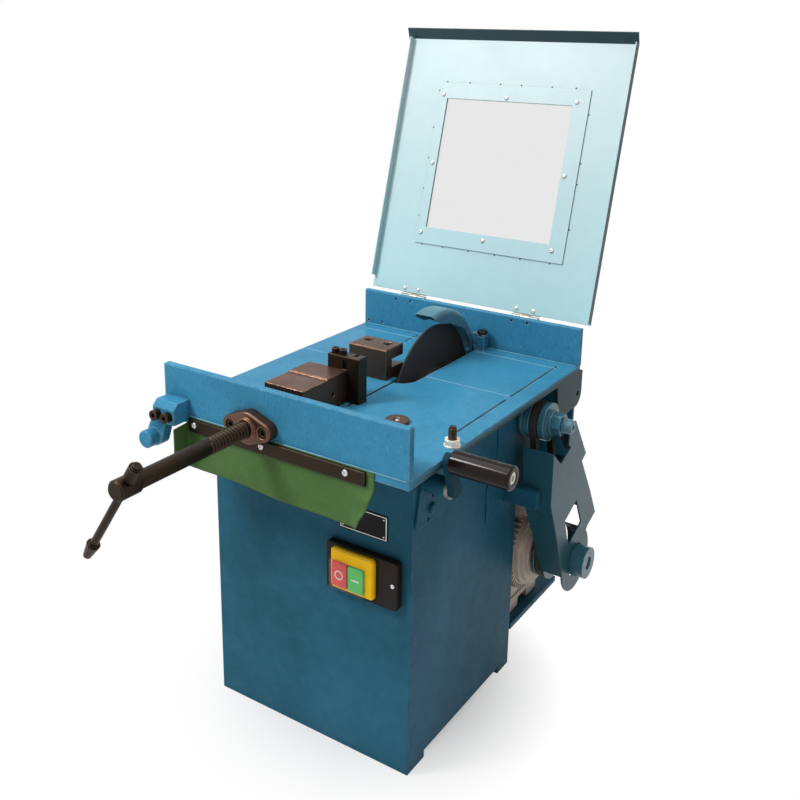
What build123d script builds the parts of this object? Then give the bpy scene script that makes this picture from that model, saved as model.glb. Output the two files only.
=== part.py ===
from build123d import *
import os
from math import cos, radians, sin

# Bench-top abrasive bar cutting machine, millimetres.
# X runs to the right, Y to the rear, Z up; the origin is the middle of the cabinet's base, on the floor.

# Cabinet
cabinet_height = 415.0
half_width = 150.0
front_y = -134.0
rear_y = 134.0
sheet = 2.5
top_flange = 17.0
foot_front = -95.0
foot_rear = 103.0
foot_height = 10.0
foot_flange = 30.0
anchor_x = 132.0
anchor_y = 114.0
anchor_radius = 4.5
shaft_slot_front = 84.0
shaft_slot_z = (362.0, 396.0)
bar_slot_front = 52.0
bar_slot_z = (266.0, 305.0)

# Table and the two upright plates
table_x = 182.0
table_front = -195.0
table_rear = 255.0
table_top = 425.0
table_thickness = 10.0
table_bottom = table_top - table_thickness
front_plate_x = (-172.0, table_x)
front_plate_y = (table_front, table_front + 9.0)
front_plate_top = 485.0
rear_plate_y = (247.0, table_rear)
rear_plate_top = 480.0

# Cutting wheel, spindle and the slot in the table that they work in
wheel_x = 4.0
wheel_y = 146.0
wheel_z = 378.0
wheel_radius = 100.0
wheel_thickness = 2.4
flange_radius = 37.5
flange_thickness = 11.8
spindle_radius = 10.0
housing_radius = 26.0
housing_x = (38.0, 143.0)
bearing_radius = 21.0
bearing_width = 12.0
slot_width = 48.0
slot_y = (43.5, 243.0)
kerf_width = 4.5
kerf_front = -60.0

# Swing head
pivot_y = 100.0
pivot_z = 100.0
pivot_radius = 10.0
tube_radius = 17.0
arm_thickness = 8.0
arm_left_x = 52.0
arm_right_x = 122.0
arm_foot_radius = 20.0
arm_head_radius = 31.5
platform_z = (52.0, 60.0)

# Motor and belt drive
motor_y = 203.0
motor_z = 155.0
motor_radius = 58.0
fin_height = 6.0
fin_count = 48
motor_x = (-26.0, 146.0)
motor_shaft_radius = 9.5
pulley_x = (160.0, 190.0)
motor_pulley_x = (166.5, 183.5)
groove_x = 175.0
spindle_pulley_radius = 26.0
motor_pulley_radius = 38.0
belt_width = 9.0
belt_depth = 7.0
hub_radius = 22.5
hub_end = 235.0
guard_x = (213.0, 215.0)

# Feed lever, its cross shaft and the link to the swing head
lever_y = -106.0
lever_z = 382.0
lever_x = (184.0, 192.0)
grip_y = -122.5
grip_z = 424.5
grip_radius = 14.0
grip_x = (193.0, 267.0)
shaft_radius = 7.0
crank_radius = 22.0
crank_angle = 39.0
crank_pin_radius = 4.0
crank_x = (98.0, 106.0)
link_x = (90.5, 96.5)
link_pin_y = 112.0
link_pin_z = 262.0

# Vice
screw_x = -30.0
screw_z = 438.0
screw_radius = 10.0
slide_x = (-63.0, -4.0)
slide_y = (-137.0, -50.0)
slide_step_y = -90.0
slide_top = 468.0
jaw_plate_x = (-33.0, 15.0)
jaw_plate_y = (-50.0, -33.0)
jaw_plate_top = 485.0
fixed_jaw_x = (-66.5, -6.5)
fixed_jaw_y = (42.0, 84.0)
fixed_jaw_top = 467.5
tongue_x = (-40.0, -28.0)
screw_head_y = (-400.0, -372.0)
tommy_y = -386.0
tommy_lean = 34.0
tommy_radius = 4.5

# Safety cover, drawn in its own plane: x across, y up the panel, z towards the front
cover_lean = 15.73
cover_foot_y = 263.2
cover_foot_z = 482.4
cover_x = (-180.0, 190.0)
cover_length = 398.0
cover_sheet = 1.5
cover_flange = 10.0
flange_start = 18.0
window_x = (-100.0, 108.0)
window_s = (105.0, 306.0)
frame_x = (-115.0, 133.0)
frame_s = (79.0, 330.0)
pin_y = 260.0
pin_z = 478.0
pin_radius = 1.5
knuckle_radius = 3.0
hinge_width = 43.0
hinge_lefts = (-123.0, 69.0)

# Fits
slip = 0.05
run_gap = 0.4


def save(piece, name):
    """Label a finished piece and write its file."""
    piece.part.label = name
    export_step(piece.part, f"parts/{name}.step")


def middle(span):
    return (span[0] + span[1]) / 2


def block(x, y, z, mode=Mode.ADD):
    """A box between three pairs of limits."""
    with Locations((middle(x), middle(y), middle(z))):
        Box(x[1] - x[0], y[1] - y[0], z[1] - z[0], mode=mode)


def rod_x(x, y, z, radius, mode=Mode.ADD):
    """A round bar along X."""
    with Locations(Location((middle(x), y, z), (0, 90, 0))):
        Cylinder(radius, x[1] - x[0], mode=mode)


def rod_y(x, y, z, radius, mode=Mode.ADD):
    """A round bar along Y."""
    with Locations(Location((x, middle(y), z), (90, 0, 0))):
        Cylinder(radius, y[1] - y[0], mode=mode)


def rod_z(x, y, z, radius, mode=Mode.ADD):
    """A round bar along Z."""
    with Locations((x, y, middle(z))):
        Cylinder(radius, z[1] - z[0], mode=mode)


def side_plane(x):
    """The plane at one X, where a sketch is drawn in Y and Z."""
    return Plane.YZ.offset(x)


def front_plane(y):
    """The plane at one Y, seen from the front, where a sketch is drawn in X and Z."""
    return Plane.XZ.offset(-y)


def hull_of(plane, circles):
    """The outline that wraps a few circles, each given as two coordinates and a radius."""
    with BuildSketch(plane) as outline:
        with BuildLine():
            for across, up, radius in circles:
                CenterArc((across, up), radius, 0, 360)
        make_hull()
    return outline.sketch


def hexagon(plane, centre, across_flats):
    """A hexagon for a bolt head or a nut."""
    with BuildSketch(plane) as outline:
        with Locations(centre):
            RegularPolygon(across_flats / 2, 6, major_radius=False)
    return outline.sketch


def sided(side, near, far):
    """Limits on the left (-1) or right (1) half, in rising order."""
    return tuple(sorted((side * near, side * far)))


os.makedirs("parts", exist_ok=True)

# Cabinet: folded front, two sides with feet, open behind and below
switch_x = (35.0, 137.0)
switch_z = (226.5, 288.5)
switch_body_x = (51.0, 101.0)
switch_body_z = (238.0, 280.0)
with BuildPart() as cabinet_front:
    block((-half_width, half_width), (front_y, front_y + sheet), (0, cabinet_height))
    block(
        (switch_body_x[0] - 1, switch_body_x[1] + 1),
        (front_y - 1, front_y + sheet + 1),
        (switch_body_z[0] - 1, switch_body_z[1] + 1),
        Mode.SUBTRACT,
    )
save(cabinet_front, "cabinet_front")

socket_depth = 12.0
socket_radius = 18.0
bush_radius = 12.0
ear_bolt_y = -98.5
ear_bolt_z = 347.0
bolt_radius = 4.0


def side_panel(side):
    """One side of the cabinet with its top flange, feet, anchor holes and pivot socket."""
    inner = half_width - sheet
    feet = ((front_y + sheet, foot_front), (foot_rear, rear_y))
    with BuildPart() as panel:
        block(sided(side, inner, half_width), (front_y + sheet, rear_y), (0, cabinet_height))
        block(
            sided(side, inner - 1, half_width + 1), (foot_front, foot_rear), (-1, foot_height), Mode.SUBTRACT
        )
        block(
            sided(side, half_width - top_flange, inner),
            (front_y + sheet, rear_y),
            (cabinet_height - sheet, cabinet_height),
        )
        for foot in feet:
            block(sided(side, half_width - foot_flange, inner), foot, (0, sheet))
        for y in (-anchor_y, anchor_y):
            rod_z(side * anchor_x, y, (-1, sheet + 1), anchor_radius, Mode.SUBTRACT)
        rod_x(sided(side, inner - socket_depth, inner), pivot_y, pivot_z, socket_radius)
        rod_x(sided(side, inner - socket_depth - 1, inner), pivot_y, pivot_z, pivot_radius + slip, Mode.SUBTRACT)
    return panel


cabinet_left = side_panel(-1)
save(cabinet_left, "cabinet_left")

cabinet_right = side_panel(1)
through_wall = (half_width - sheet - 1, half_width + 1)
tongue_rear = 172.0
with cabinet_right:
    block((half_width - sheet, half_width), (rear_y - 1, tongue_rear), (bar_slot_z[1] - 1, shaft_slot_z[0] + 1))
    for front, z in ((shaft_slot_front, shaft_slot_z), (bar_slot_front, bar_slot_z)):
        block(through_wall, (front, tongue_rear + 1), z, Mode.SUBTRACT)
        fillet(
            cabinet_right.edges().filter_by(Axis.X).filter_by(lambda e: abs(e.center().Y - front) < 0.1), 8.0
        )
    rod_x(through_wall, lever_y, lever_z, bush_radius + slip, Mode.SUBTRACT)
    rod_x(through_wall, ear_bolt_y, ear_bolt_z, bolt_radius + slip, Mode.SUBTRACT)
save(cabinet_right, "cabinet_right")

# Cross bar between the sides: the swing head's platform rests on it
stop_bar_y = (118.0, rear_y)
stop_bar_z = (36.0, platform_z[0] - run_gap)
with BuildPart() as stop_bar:
    block((sheet - half_width, half_width - sheet), stop_bar_y, stop_bar_z)
    block((-half_width, half_width), (118.0, 128.0), (33.0, 44.0), Mode.SUBTRACT)
save(stop_bar, "stop_bar")

with BuildPart() as pivot_shaft:
    rod_x((sheet + slip - half_width, half_width - sheet - slip), pivot_y, pivot_z, pivot_radius)
    chamfer(pivot_shaft.edges(), 0.8)
save(pivot_shaft, "pivot_shaft")

# Table: thick plate with the wheel slot, the kerf, the jaw guide, a boss, a skirt and a bearing lug
groove_depth = 1.5
grooves = (
    ((155.5, 158.5), (-50.0, 76.0)),
    ((155.5, 158.5), (88.0, 233.0)),
    ((-79.5, -76.5), (202.0, 239.0)),
    ((31.0, 156.0), (87.4, 88.6)),
    ((-175.0, -137.0), (87.4, 88.6)),
    ((32.0, 160.0), (221.4, 222.6)),
    ((-167.0, -74.0), (221.4, 222.6)),
)
through_table = (table_bottom - 1, table_top + 1)
post_x = 35.5
post_y = 234.0
post_width = 13.0
post_top = 447.0
skirt_x = (table_x - 4.0, table_x)
skirt_y = (186.0, 266.0)
skirt_bottom = 365.0
apron_y = (table_rear - 4.0, table_rear)
apron_bottom = 262.0
apron_right = table_x - 4.5
slot_left = wheel_x - 4.5
flange_pocket_x = wheel_x - 16.0
flange_pocket_y = (62.0, 243.0)
guide_depth = 6.0
lug_x = (112.0, 120.0)
stud_x = 172.0
stud_y = -88.0
stud_radius = 5.0
with BuildPart() as table:
    block((-table_x, table_x), (table_front, apron_y[0]), (table_bottom, table_top))
    block(skirt_x, (apron_y[0] - 10, table_rear), (table_bottom, table_top))
    with BuildSketch(Plane.XY.offset(table_bottom)):
        with Locations((wheel_x, middle(slot_y))):
            SlotOverall(slot_y[1] - slot_y[0], slot_width, rotation=90)
        with Locations((slot_left - slot_width, middle(slot_y))):
            Rectangle(2 * slot_width, 250.0, mode=Mode.SUBTRACT)
        with Locations(((flange_pocket_x + wheel_x) / 2, middle(flange_pocket_y))):
            Rectangle(wheel_x - flange_pocket_x, flange_pocket_y[1] - flange_pocket_y[0])
    extrude(amount=table_thickness, mode=Mode.SUBTRACT)
    kerf_x = (wheel_x - kerf_width / 2, wheel_x + kerf_width / 2)
    block(kerf_x, (kerf_front, slot_y[0] + 5), through_table, Mode.SUBTRACT)
    guide_x = (tongue_x[0] - 0.2, tongue_x[1] + 0.2)
    block(guide_x, (-184.0, 30.0), (table_top - guide_depth, table_top + 1), Mode.SUBTRACT)
    for across, along in grooves:
        block(across, along, (table_top - groove_depth, table_top + 1), Mode.SUBTRACT)
    rod_z(stud_x, stud_y, through_table, stud_radius + slip, Mode.SUBTRACT)
    block(
        (post_x - post_width / 2, post_x + post_width / 2),
        (post_y - post_width / 2, post_y + post_width / 2),
        (table_top, post_top),
    )
    with BuildSketch(side_plane(skirt_x[0])):
        with BuildLine():
            Polyline(
                (skirt_y[0] - 6, table_bottom),
                (skirt_y[0], skirt_bottom),
                (skirt_y[1] - 20, skirt_bottom),
            )
            ThreePointArc(
                (skirt_y[1] - 20, skirt_bottom),
                (skirt_y[1] - 5.9, skirt_bottom + 5.9),
                (skirt_y[1], skirt_bottom + 20),
            )
            Polyline((skirt_y[1], skirt_bottom + 20), (skirt_y[1], table_bottom), (skirt_y[0] - 6, table_bottom))
        make_face()
        with Locations((252.0, 384.0)):
            Circle(4.0, mode=Mode.SUBTRACT)
    extrude(amount=skirt_x[1] - skirt_x[0])
    extrude(
        hull_of(side_plane(lug_x[0]), [(lever_y, lever_z, 12.0), (lever_y, table_bottom + 3, 12.0)]),
        amount=lug_x[1] - lug_x[0],
    )
    block(lug_x, (lever_y - 13, lever_y + 13), (table_top - 5, table_top + 20), Mode.SUBTRACT)
    block((lug_x[0] - 5, lug_x[1] + 5), (lever_y - 20, lever_y + 20), (table_bottom, table_top))
    rod_x((lug_x[0] - 1, lug_x[1] + 1), lever_y, lever_z, shaft_radius + slip, Mode.SUBTRACT)
save(table, "table")

# Upright plates
plate_chamfer = 1.5
with BuildPart() as front_plate:
    block(front_plate_x, front_plate_y, (table_top, front_plate_top))
    chamfer(front_plate.edges().group_by(Axis.Z)[-1], plate_chamfer)
    rod_y(screw_x, (front_plate_y[0] - 1, front_plate_y[1] + 1), screw_z, screw_radius + 1, Mode.SUBTRACT)
save(front_plate, "front_plate")

plate_holes = ((-125.0, 473.0), (-99.0, 473.5), (75.0, 474.0), (100.0, 474.0), (-176.0, 430.5), (-150.0, 430.5))
with BuildPart() as rear_plate:
    block((-183.0, 183.0), rear_plate_y, (table_top, rear_plate_top))
    block((-table_x, apron_right), apron_y, (apron_bottom, table_top))
    for x, z in plate_holes:
        rod_y(x, (rear_plate_y[0] - 1, rear_plate_y[1] + 1), z, 1.8, Mode.SUBTRACT)
    chamfer(rear_plate.edges().group_by(Axis.Z)[-1].filter_by(Axis.X), 0.8)
save(rear_plate, "rear_plate")

# Fixed jaw: a block with a slot open to the rear
jaw_screws = ((-53.0, 69.0), (-20.5, 68.0))
with BuildPart() as fixed_jaw:
    block(fixed_jaw_x, fixed_jaw_y, (table_top, fixed_jaw_top))
    block((fixed_jaw_x[0] - 1, fixed_jaw_x[1] + 1), (57.0, 85.0), (440.0, 452.0), Mode.SUBTRACT)
    chamfer(fixed_jaw.edges().group_by(Axis.Z)[-1], 1.0)
    for x, y in jaw_screws:
        rod_z(x, y, (table_top - 1, fixed_jaw_top + 1), 4.0 + slip, Mode.SUBTRACT)
        rod_z(x, y, (fixed_jaw_top - 9, fixed_jaw_top + 1), 7.0, Mode.SUBTRACT)
save(fixed_jaw, "fixed_jaw")

# Moving jaw: slide block with a tongue, tall jaw plate in front of the fixed jaw
slide_gap = 0.1
nose_length = 20.0
with BuildPart() as jaw_slide:
    block(slide_x, slide_y, (table_top + slide_gap, slide_top))
    block(
        (slide_x[0] - 1, slide_x[1] + 1), (slide_y[0] - 1, slide_step_y), (slide_top - 2, slide_top + 1), Mode.SUBTRACT
    )
    chamfer(jaw_slide.edges().group_by(Axis.Z)[-1], 1.0)
    block(tongue_x, (slide_y[0] + 7, slide_y[1] - 5), (table_top - guide_depth + 1, table_top + 1))
    rod_y(screw_x, (slide_y[0] - 1, slide_y[0] + nose_length + 1), screw_z, 8.0 + slip, Mode.SUBTRACT)
    rod_x((slide_x[1] - 12, slide_x[1] + 1), -78.0, 444.0, 3.0, Mode.SUBTRACT)
save(jaw_slide, "jaw_slide")

top_screws = ((-27.0, -41.5), (-15.5, -41.5))
relief_depth = 10.0
with BuildPart() as jaw_plate:
    block(jaw_plate_x, jaw_plate_y, (table_top + slide_gap, jaw_plate_top))
    chamfer(jaw_plate.edges().group_by(Axis.Z)[-1], 0.8)
    block((-11.0, -2.0), (jaw_plate_y[0] - 1, jaw_plate_y[1] + 1), (468.0, 480.0), Mode.SUBTRACT)
    block(
        (wheel_x - 3, wheel_x + 3),
        (jaw_plate_y[1] - relief_depth, jaw_plate_y[1] + 1),
        (table_top - 1, jaw_plate_top + 1),
        Mode.SUBTRACT,
    )
    for x, y in top_screws:
        rod_z(x, y, (jaw_plate_top - 15, jaw_plate_top + 1), 3.0 + slip, Mode.SUBTRACT)
save(jaw_plate, "jaw_plate")

with BuildPart() as jaw_plate_screws:
    for x, y in top_screws:
        rod_z(x, y, (jaw_plate_top, jaw_plate_top + 6), 5.0)
        rod_z(x, y, (jaw_plate_top - 14, jaw_plate_top), 3.0)
        rod_z(x, y, (jaw_plate_top + 3, jaw_plate_top + 7), 2.5, Mode.SUBTRACT)
save(jaw_plate_screws, "jaw_plate_screws")

# Clamp nut: a thick oval body on the front plate, its two screws sunk in it
nut_screw_spread = 24.0
nut_front = -209.0
nut_ring = -212.0
nut_sink = -200.0
nut_body = [
    (screw_x, screw_z, 20.0),
    (screw_x - nut_screw_spread, screw_z, 11.5),
    (screw_x + nut_screw_spread, screw_z, 11.5),
]
with BuildPart() as clamp_nut:
    extrude(hull_of(front_plane(table_front), nut_body), amount=table_front - nut_front)
    fillet(clamp_nut.edges().group_by(Axis.Y)[0], 2.5)
    rod_y(screw_x, (nut_ring, nut_front + 1), screw_z, 13.5)
    chamfer(clamp_nut.edges().group_by(Axis.Y)[0], 1.0)
    rod_y(screw_x, (nut_ring - 1, table_front + 1), screw_z, screw_radius + 0.06, Mode.SUBTRACT)
    for x in (screw_x - nut_screw_spread, screw_x + nut_screw_spread):
        rod_y(x, (nut_front - 1, table_front + 1), screw_z, 4.0 + slip, Mode.SUBTRACT)
        rod_y(x, (nut_front - 1, nut_sink), screw_z, 7.0, Mode.SUBTRACT)
save(clamp_nut, "clamp_nut")

# Clamp screw with a cross-drilled head, and its sliding tommy bar
thread_front = -273.0
nose_end = slide_y[0] + nose_length
tommy_down = Vector(-sin(radians(tommy_lean)), 0, -cos(radians(tommy_lean)))
tommy_plane = Plane(origin=(screw_x, tommy_y, screw_z), x_dir=(0, 1, 0), z_dir=tommy_down)
with BuildPart() as clamp_screw:
    rod_y(screw_x, (slide_y[0], nose_end), screw_z, 8.0)
    rod_y(screw_x, (thread_front, slide_y[0] - run_gap), screw_z, screw_radius)
    rod_y(screw_x, (slide_y[0] - run_gap, slide_y[0]), screw_z, 8.0)
    rod_y(screw_x, (screw_head_y[1], thread_front), screw_z, 9.5)
    rod_y(screw_x, screw_head_y, screw_z, 11.5)
    chamfer(clamp_screw.edges().group_by(Axis.Y)[0], 2.0)
    with BuildSketch(tommy_plane):
        Circle(tommy_radius + 0.08)
    extrude(amount=40.0, both=True, mode=Mode.SUBTRACT)
save(clamp_screw, "clamp_screw")

tommy_top = 34.0
tommy_tip = 118.0
collar = (13.6, 30.0)
lower_knob = (98.0, tommy_tip)
with BuildPart(tommy_plane) as tommy_bar:
    rod_z(0, 0, (-tommy_top, tommy_tip - 4), tommy_radius)
    rod_z(0, 0, (-collar[1], -collar[0]), 7.5)
    with Locations((0, 0, middle(lower_knob))):
        Cone(7.5, 4.6, lower_knob[1] - lower_knob[0])
save(tommy_bar, "tommy_bar")

# Stop bracket on the left end of the front plate, with a round stub on its arm
bracket_x = (-167.0, -132.0)
bracket_y = (-221.0, table_front)
bracket_z = (420.0, 446.0)
stub_x = -167.0
stub_z = 399.5
bracket_screw_x = (-159.0, -141.0)
bracket_screw_z = 430.0
with BuildPart() as stop_bracket:
    block(bracket_x, bracket_y, bracket_z)
    chamfer(stop_bracket.edges().filter_by(Axis.X).group_by(Axis.Z)[-1].group_by(Axis.Y)[0], 7.0)
    extrude(
        hull_of(front_plane(-207.0), [(-156.0, 427.0, 10.5), (stub_x, stub_z, 12.5)]),
        amount=14.0,
    )
    rod_y(stub_x, (-236.0, -215.0), stub_z, 11.0)
    chamfer(stop_bracket.edges().group_by(Axis.Y)[0], 1.0)
    for x in bracket_screw_x:
        rod_y(x, (bracket_y[0] - 1, bracket_y[1] + 1), bracket_screw_z, 4.0 + slip, Mode.SUBTRACT)
save(stop_bracket, "stop_bracket")


def socket_screw_y(x, z, face, shank):
    """A socket screw pointing to the rear, its head standing on a face towards the front."""
    rod_y(x, (face - 8, face), z, 6.5)
    rod_y(x, (face - 9, face - 4), z, 3.2, Mode.SUBTRACT)
    rod_y(x, (face - 0.5, face + shank), z, 4.0)


with BuildPart() as socket_screws:
    for x, y in jaw_screws:
        rod_z(x, y, (fixed_jaw_top - 9, fixed_jaw_top - 1), 6.5)
        rod_z(x, y, (fixed_jaw_top - 5, fixed_jaw_top), 3.2, Mode.SUBTRACT)
        rod_z(x, y, (table_top, fixed_jaw_top - 8.5), 4.0)
    for x in (screw_x - nut_screw_spread, screw_x + nut_screw_spread):
        socket_screw_y(x, screw_z, nut_sink, table_front - nut_sink)
    for x in bracket_screw_x:
        socket_screw_y(x, bracket_screw_z, bracket_y[0], bracket_y[1] - bracket_y[0])
save(socket_screws, "socket_screws")

# Splash flap: a rubberised sheet clamped under a strip, slack below it, its left end folded forwards
flap_thickness = 1.6
flap_x = (-132.0, 139.0)
flap_top = 417.4
flap_bottom = 357.0
flap_fold = 26.0
flap_waves = ((-132.0, 0.0), (-90.0, -4.0), (-40.0, 0.0), (30.0, -3.0), (100.0, -5.0), (139.0, 0.0))
strip_x = (-130.0, 129.0)
strip_z = (407.0, 423.5)
strip_thickness = 3.5
flap_back = table_front


def flap_section(height, slack):
    """The flap's cut at one height: straight where it is clamped, waved where it hangs."""
    back = [(x, flap_back + slack * (out - 4)) for x, out in flap_waves]
    front = [(x, y - flap_thickness) for x, y in back]
    with BuildSketch(Plane.XY.offset(height)) as section:
        with BuildLine():
            Spline(*back)
            Line(back[-1], front[-1])
            Spline(*front[::-1])
            Line(front[0], back[0])
        make_face()
    return section.sketch


with BuildPart() as splash_flap:
    add(loft([flap_section(flap_bottom, 1.0).face(), flap_section(strip_z[0], 0.0).face()], ruled=True, mode=Mode.PRIVATE))
    block(flap_x, (flap_back - flap_thickness, flap_back), (strip_z[0], flap_top))
    block((flap_x[0] - 1.2, flap_x[0] + 0.4), (flap_back - flap_fold, flap_back), (flap_bottom + 4, flap_top - 1))
save(splash_flap, "splash_flap")

strip_y = (flap_back - flap_thickness - strip_thickness, flap_back - flap_thickness)
strip_screw_x = (-120.0, -15.0, 104.0)
strip_screw_z = 417.0
with BuildPart() as flap_strip:
    block(strip_x, strip_y, strip_z)
    chamfer(flap_strip.edges().group_by(Axis.Y)[0], 0.6)
    nut_hollow = [(x, z, radius + 0.5) for x, z, radius in nut_body]
    extrude(hull_of(front_plane(table_front + 1), nut_hollow), amount=20.0, mode=Mode.SUBTRACT)
save(flap_strip, "flap_strip")

# Switch: back plate with the body behind the panel, bezel, two push buttons; bare plate above it
switch_plate_y = (-144.0, front_y)
with BuildPart() as switch_plate:
    block(switch_x, switch_plate_y, switch_z)
    fillet(switch_plate.edges().filter_by(Axis.Y), 4.0)
    fillet(switch_plate.edges().group_by(Axis.Y)[0], 1.2)
    block(switch_body_x, (front_y, -95.0), switch_body_z)
save(switch_plate, "switch_plate")

bezel_x = (45.5, 107.5)
bezel_z = (233.0, 285.5)
bezel_y = (-150.0, switch_plate_y[0])
button_z = (238.0, 269.5)
button_y = (-153.0, -147.5)
red_x = (49.5, 71.5)
green_x = (73.0, 95.0)
with BuildPart() as switch_bezel:
    block(bezel_x, bezel_y, bezel_z)
    fillet(switch_bezel.edges().filter_by(Axis.Y), 5.0)
    chamfer(switch_bezel.edges().group_by(Axis.Y)[0], 2.0)
    block(
        (red_x[0] - run_gap, green_x[1] + run_gap),
        (bezel_y[0] - 1, bezel_y[1] + 1),
        (button_z[0] - run_gap, button_z[1] + run_gap),
        Mode.SUBTRACT,
    )
save(switch_bezel, "switch_bezel")


def push_button(x):
    """A rectangular push button with soft edges and a shallow dished face."""
    with BuildPart() as button:
        block(x, button_y, button_z)
        fillet(button.edges().filter_by(Axis.Y), 2.0)
        fillet(button.edges().group_by(Axis.Y)[0], 1.0)
    return button


stop_button = push_button(red_x)
save(stop_button, "stop_button")
start_button = push_button(green_x)
save(start_button, "start_button")

with BuildPart() as nameplate:
    block((48.0, 117.0), (front_y - 0.8, front_y), (306.0, 339.0))
    fillet(nameplate.edges().filter_by(Axis.Y), 1.5)
save(nameplate, "nameplate")

pan_radius = 4.0
pan_height = 2.4
with BuildPart() as pan_screws:
    for x in strip_screw_x:
        rod_y(x, (strip_y[0] - pan_height, strip_y[0]), strip_screw_z, pan_radius)
    for x, z in ((131.0, 259.0),):
        rod_y(x, (switch_plate_y[0] - pan_height, switch_plate_y[0]), z, pan_radius)
    chamfer(pan_screws.faces().sort_by(Axis.Y)[0].edges(), 0.8)
save(pan_screws, "pan_screws")

# Wheel hood: a rounded channel over the back of the wheel, its right cheek carried on a post
hood_y = 144.5
hood_z = 405.5
hood_radius = 97.5
hood_sheet = 2.0
hood_x = (-12.0, 22.0)
hood_cheek = 24.0
hood_bend = 8.0
cheek_edge = ((100.0, 497.0), (119.0, 497.0), (142.0, 485.0), (161.0, 481.5), (205.0, 463.0), (222.0, 440.5), (231.0, 420.0))
rim_bend = 4.0
lip_angle = 14.0
hood_sweep = 91.8


def hood_bends(radius, left, right):
    """The hood's section at one face of its sheet: a small rim on the left, a wide bend on the right."""
    inset = hood_radius - radius
    rim = rim_bend - inset
    bend = hood_bend - inset
    Line((left, hood_radius - hood_cheek), (left, radius - rim))
    CenterArc((left + rim, radius - rim), rim, 90, 90)
    Line((left + rim, radius), (right - bend, radius))
    CenterArc((right - bend, radius - bend), bend, 0, 90)
    Line((right, radius - bend), (right, hood_radius - hood_cheek))


hood_plane = Plane(
    origin=(0, hood_y, hood_z),
    x_dir=(1, 0, 0),
    z_dir=(0, -cos(radians(lip_angle)), -sin(radians(lip_angle))),
)
with BuildPart() as wheel_hood:
    with BuildSketch(hood_plane):
        with BuildLine():
            hood_bends(hood_radius, hood_x[0], hood_x[1])
            hood_bends(hood_radius - hood_sheet, hood_x[0] + hood_sheet, hood_x[1] - hood_sheet)
            Line((hood_x[0], hood_radius - hood_cheek), (hood_x[0] + hood_sheet, hood_radius - hood_cheek))
            Line((hood_x[1] - hood_sheet, hood_radius - hood_cheek), (hood_x[1], hood_radius - hood_cheek))
        make_face()
    revolve(axis=Axis((0, hood_y, hood_z), (-1, 0, 0)), revolution_arc=hood_sweep)
    with BuildSketch(side_plane(hood_x[0] - 1)):
        Polygon(*cheek_edge, (100.0, 420.0))
    extrude(amount=hood_x[1] - hood_x[0] + 2, mode=Mode.SUBTRACT)
    block((hood_x[1] - hood_sheet, post_x + post_width / 2), (post_y - 6, post_y + 6), (post_top, post_top + 2.5))
    rod_z(post_x, post_y, (post_top - 1, post_top + 4), 4.0 + slip, Mode.SUBTRACT)
save(wheel_hood, "wheel_hood")

# Bracket for the feed shaft: an ear on the cabinet's side with a bush through the wall
ear_x = (half_width, half_width + 3.0)
bush_x = (140.0, 179.0)
with BuildPart() as shaft_bracket:
    extrude(
        hull_of(
            side_plane(ear_x[0]),
            [(lever_y, lever_z, 15.0), (-125.0, 336.0, 6.0), (-70.0, 336.0, 6.0)],
        ),
        amount=ear_x[1] - ear_x[0],
    )
    rod_x(bush_x, lever_y, lever_z, bush_radius)
    rod_x((bush_x[0] - 1, bush_x[1] + 1), lever_y, lever_z, shaft_radius + slip, Mode.SUBTRACT)
    rod_x((ear_x[0] - 1, ear_x[1] + 1), ear_bolt_y, ear_bolt_z, bolt_radius + slip, Mode.SUBTRACT)
    for y, z in ((-95.0, 361.0), (-104.0, 334.5)):
        rod_x((ear_x[0] - 1, ear_x[1] + 1), y, z, 2.5, Mode.SUBTRACT)
save(shaft_bracket, "shaft_bracket")

with BuildPart() as hex_bolts:
    extrude(hexagon(side_plane(ear_x[1]), (ear_bolt_y, ear_bolt_z), 11.0), amount=4.0)
    rod_x((142.0, ear_x[1] + 1), ear_bolt_y, ear_bolt_z, bolt_radius)
    extrude(hexagon(Plane.XY.offset(post_top + 2.5), (post_x, post_y), 13.0), amount=5.5)
save(hex_bolts, "hex_bolts")

# Loose fittings on the table
plug_x = 83.0
plug_y = -66.0
with BuildPart() as table_plug:
    rod_z(plug_x, plug_y, (table_top, table_top + 4), 15.0)
    fillet(table_plug.edges().group_by(Axis.Z)[-1], 1.5)
    rod_z(plug_x, plug_y, (table_top + 2, table_top + 5), 5.0, Mode.SUBTRACT)
save(table_plug, "table_plug")

with BuildPart() as stop_stud:
    rod_z(stud_x, stud_y, (table_bottom - 2, 449.0), stud_radius)
    chamfer(stop_stud.edges().group_by(Axis.Z)[-1], 1.2)
save(stop_stud, "stop_stud")

with BuildPart() as stop_nut:
    rod_z(stud_x, stud_y, (table_top, table_top + 2), 10.0)
    rod_z(stud_x, stud_y, (table_top - 1, table_top + 3), stud_radius + slip, Mode.SUBTRACT)
    extrude(hexagon(Plane.XY.offset(table_top + 2), (stud_x, stud_y), 17.0), amount=6.5)
    rod_z(stud_x, stud_y, (table_top + 1, table_top + 12), stud_radius + slip, Mode.SUBTRACT)
save(stop_nut, "stop_nut")

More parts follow.
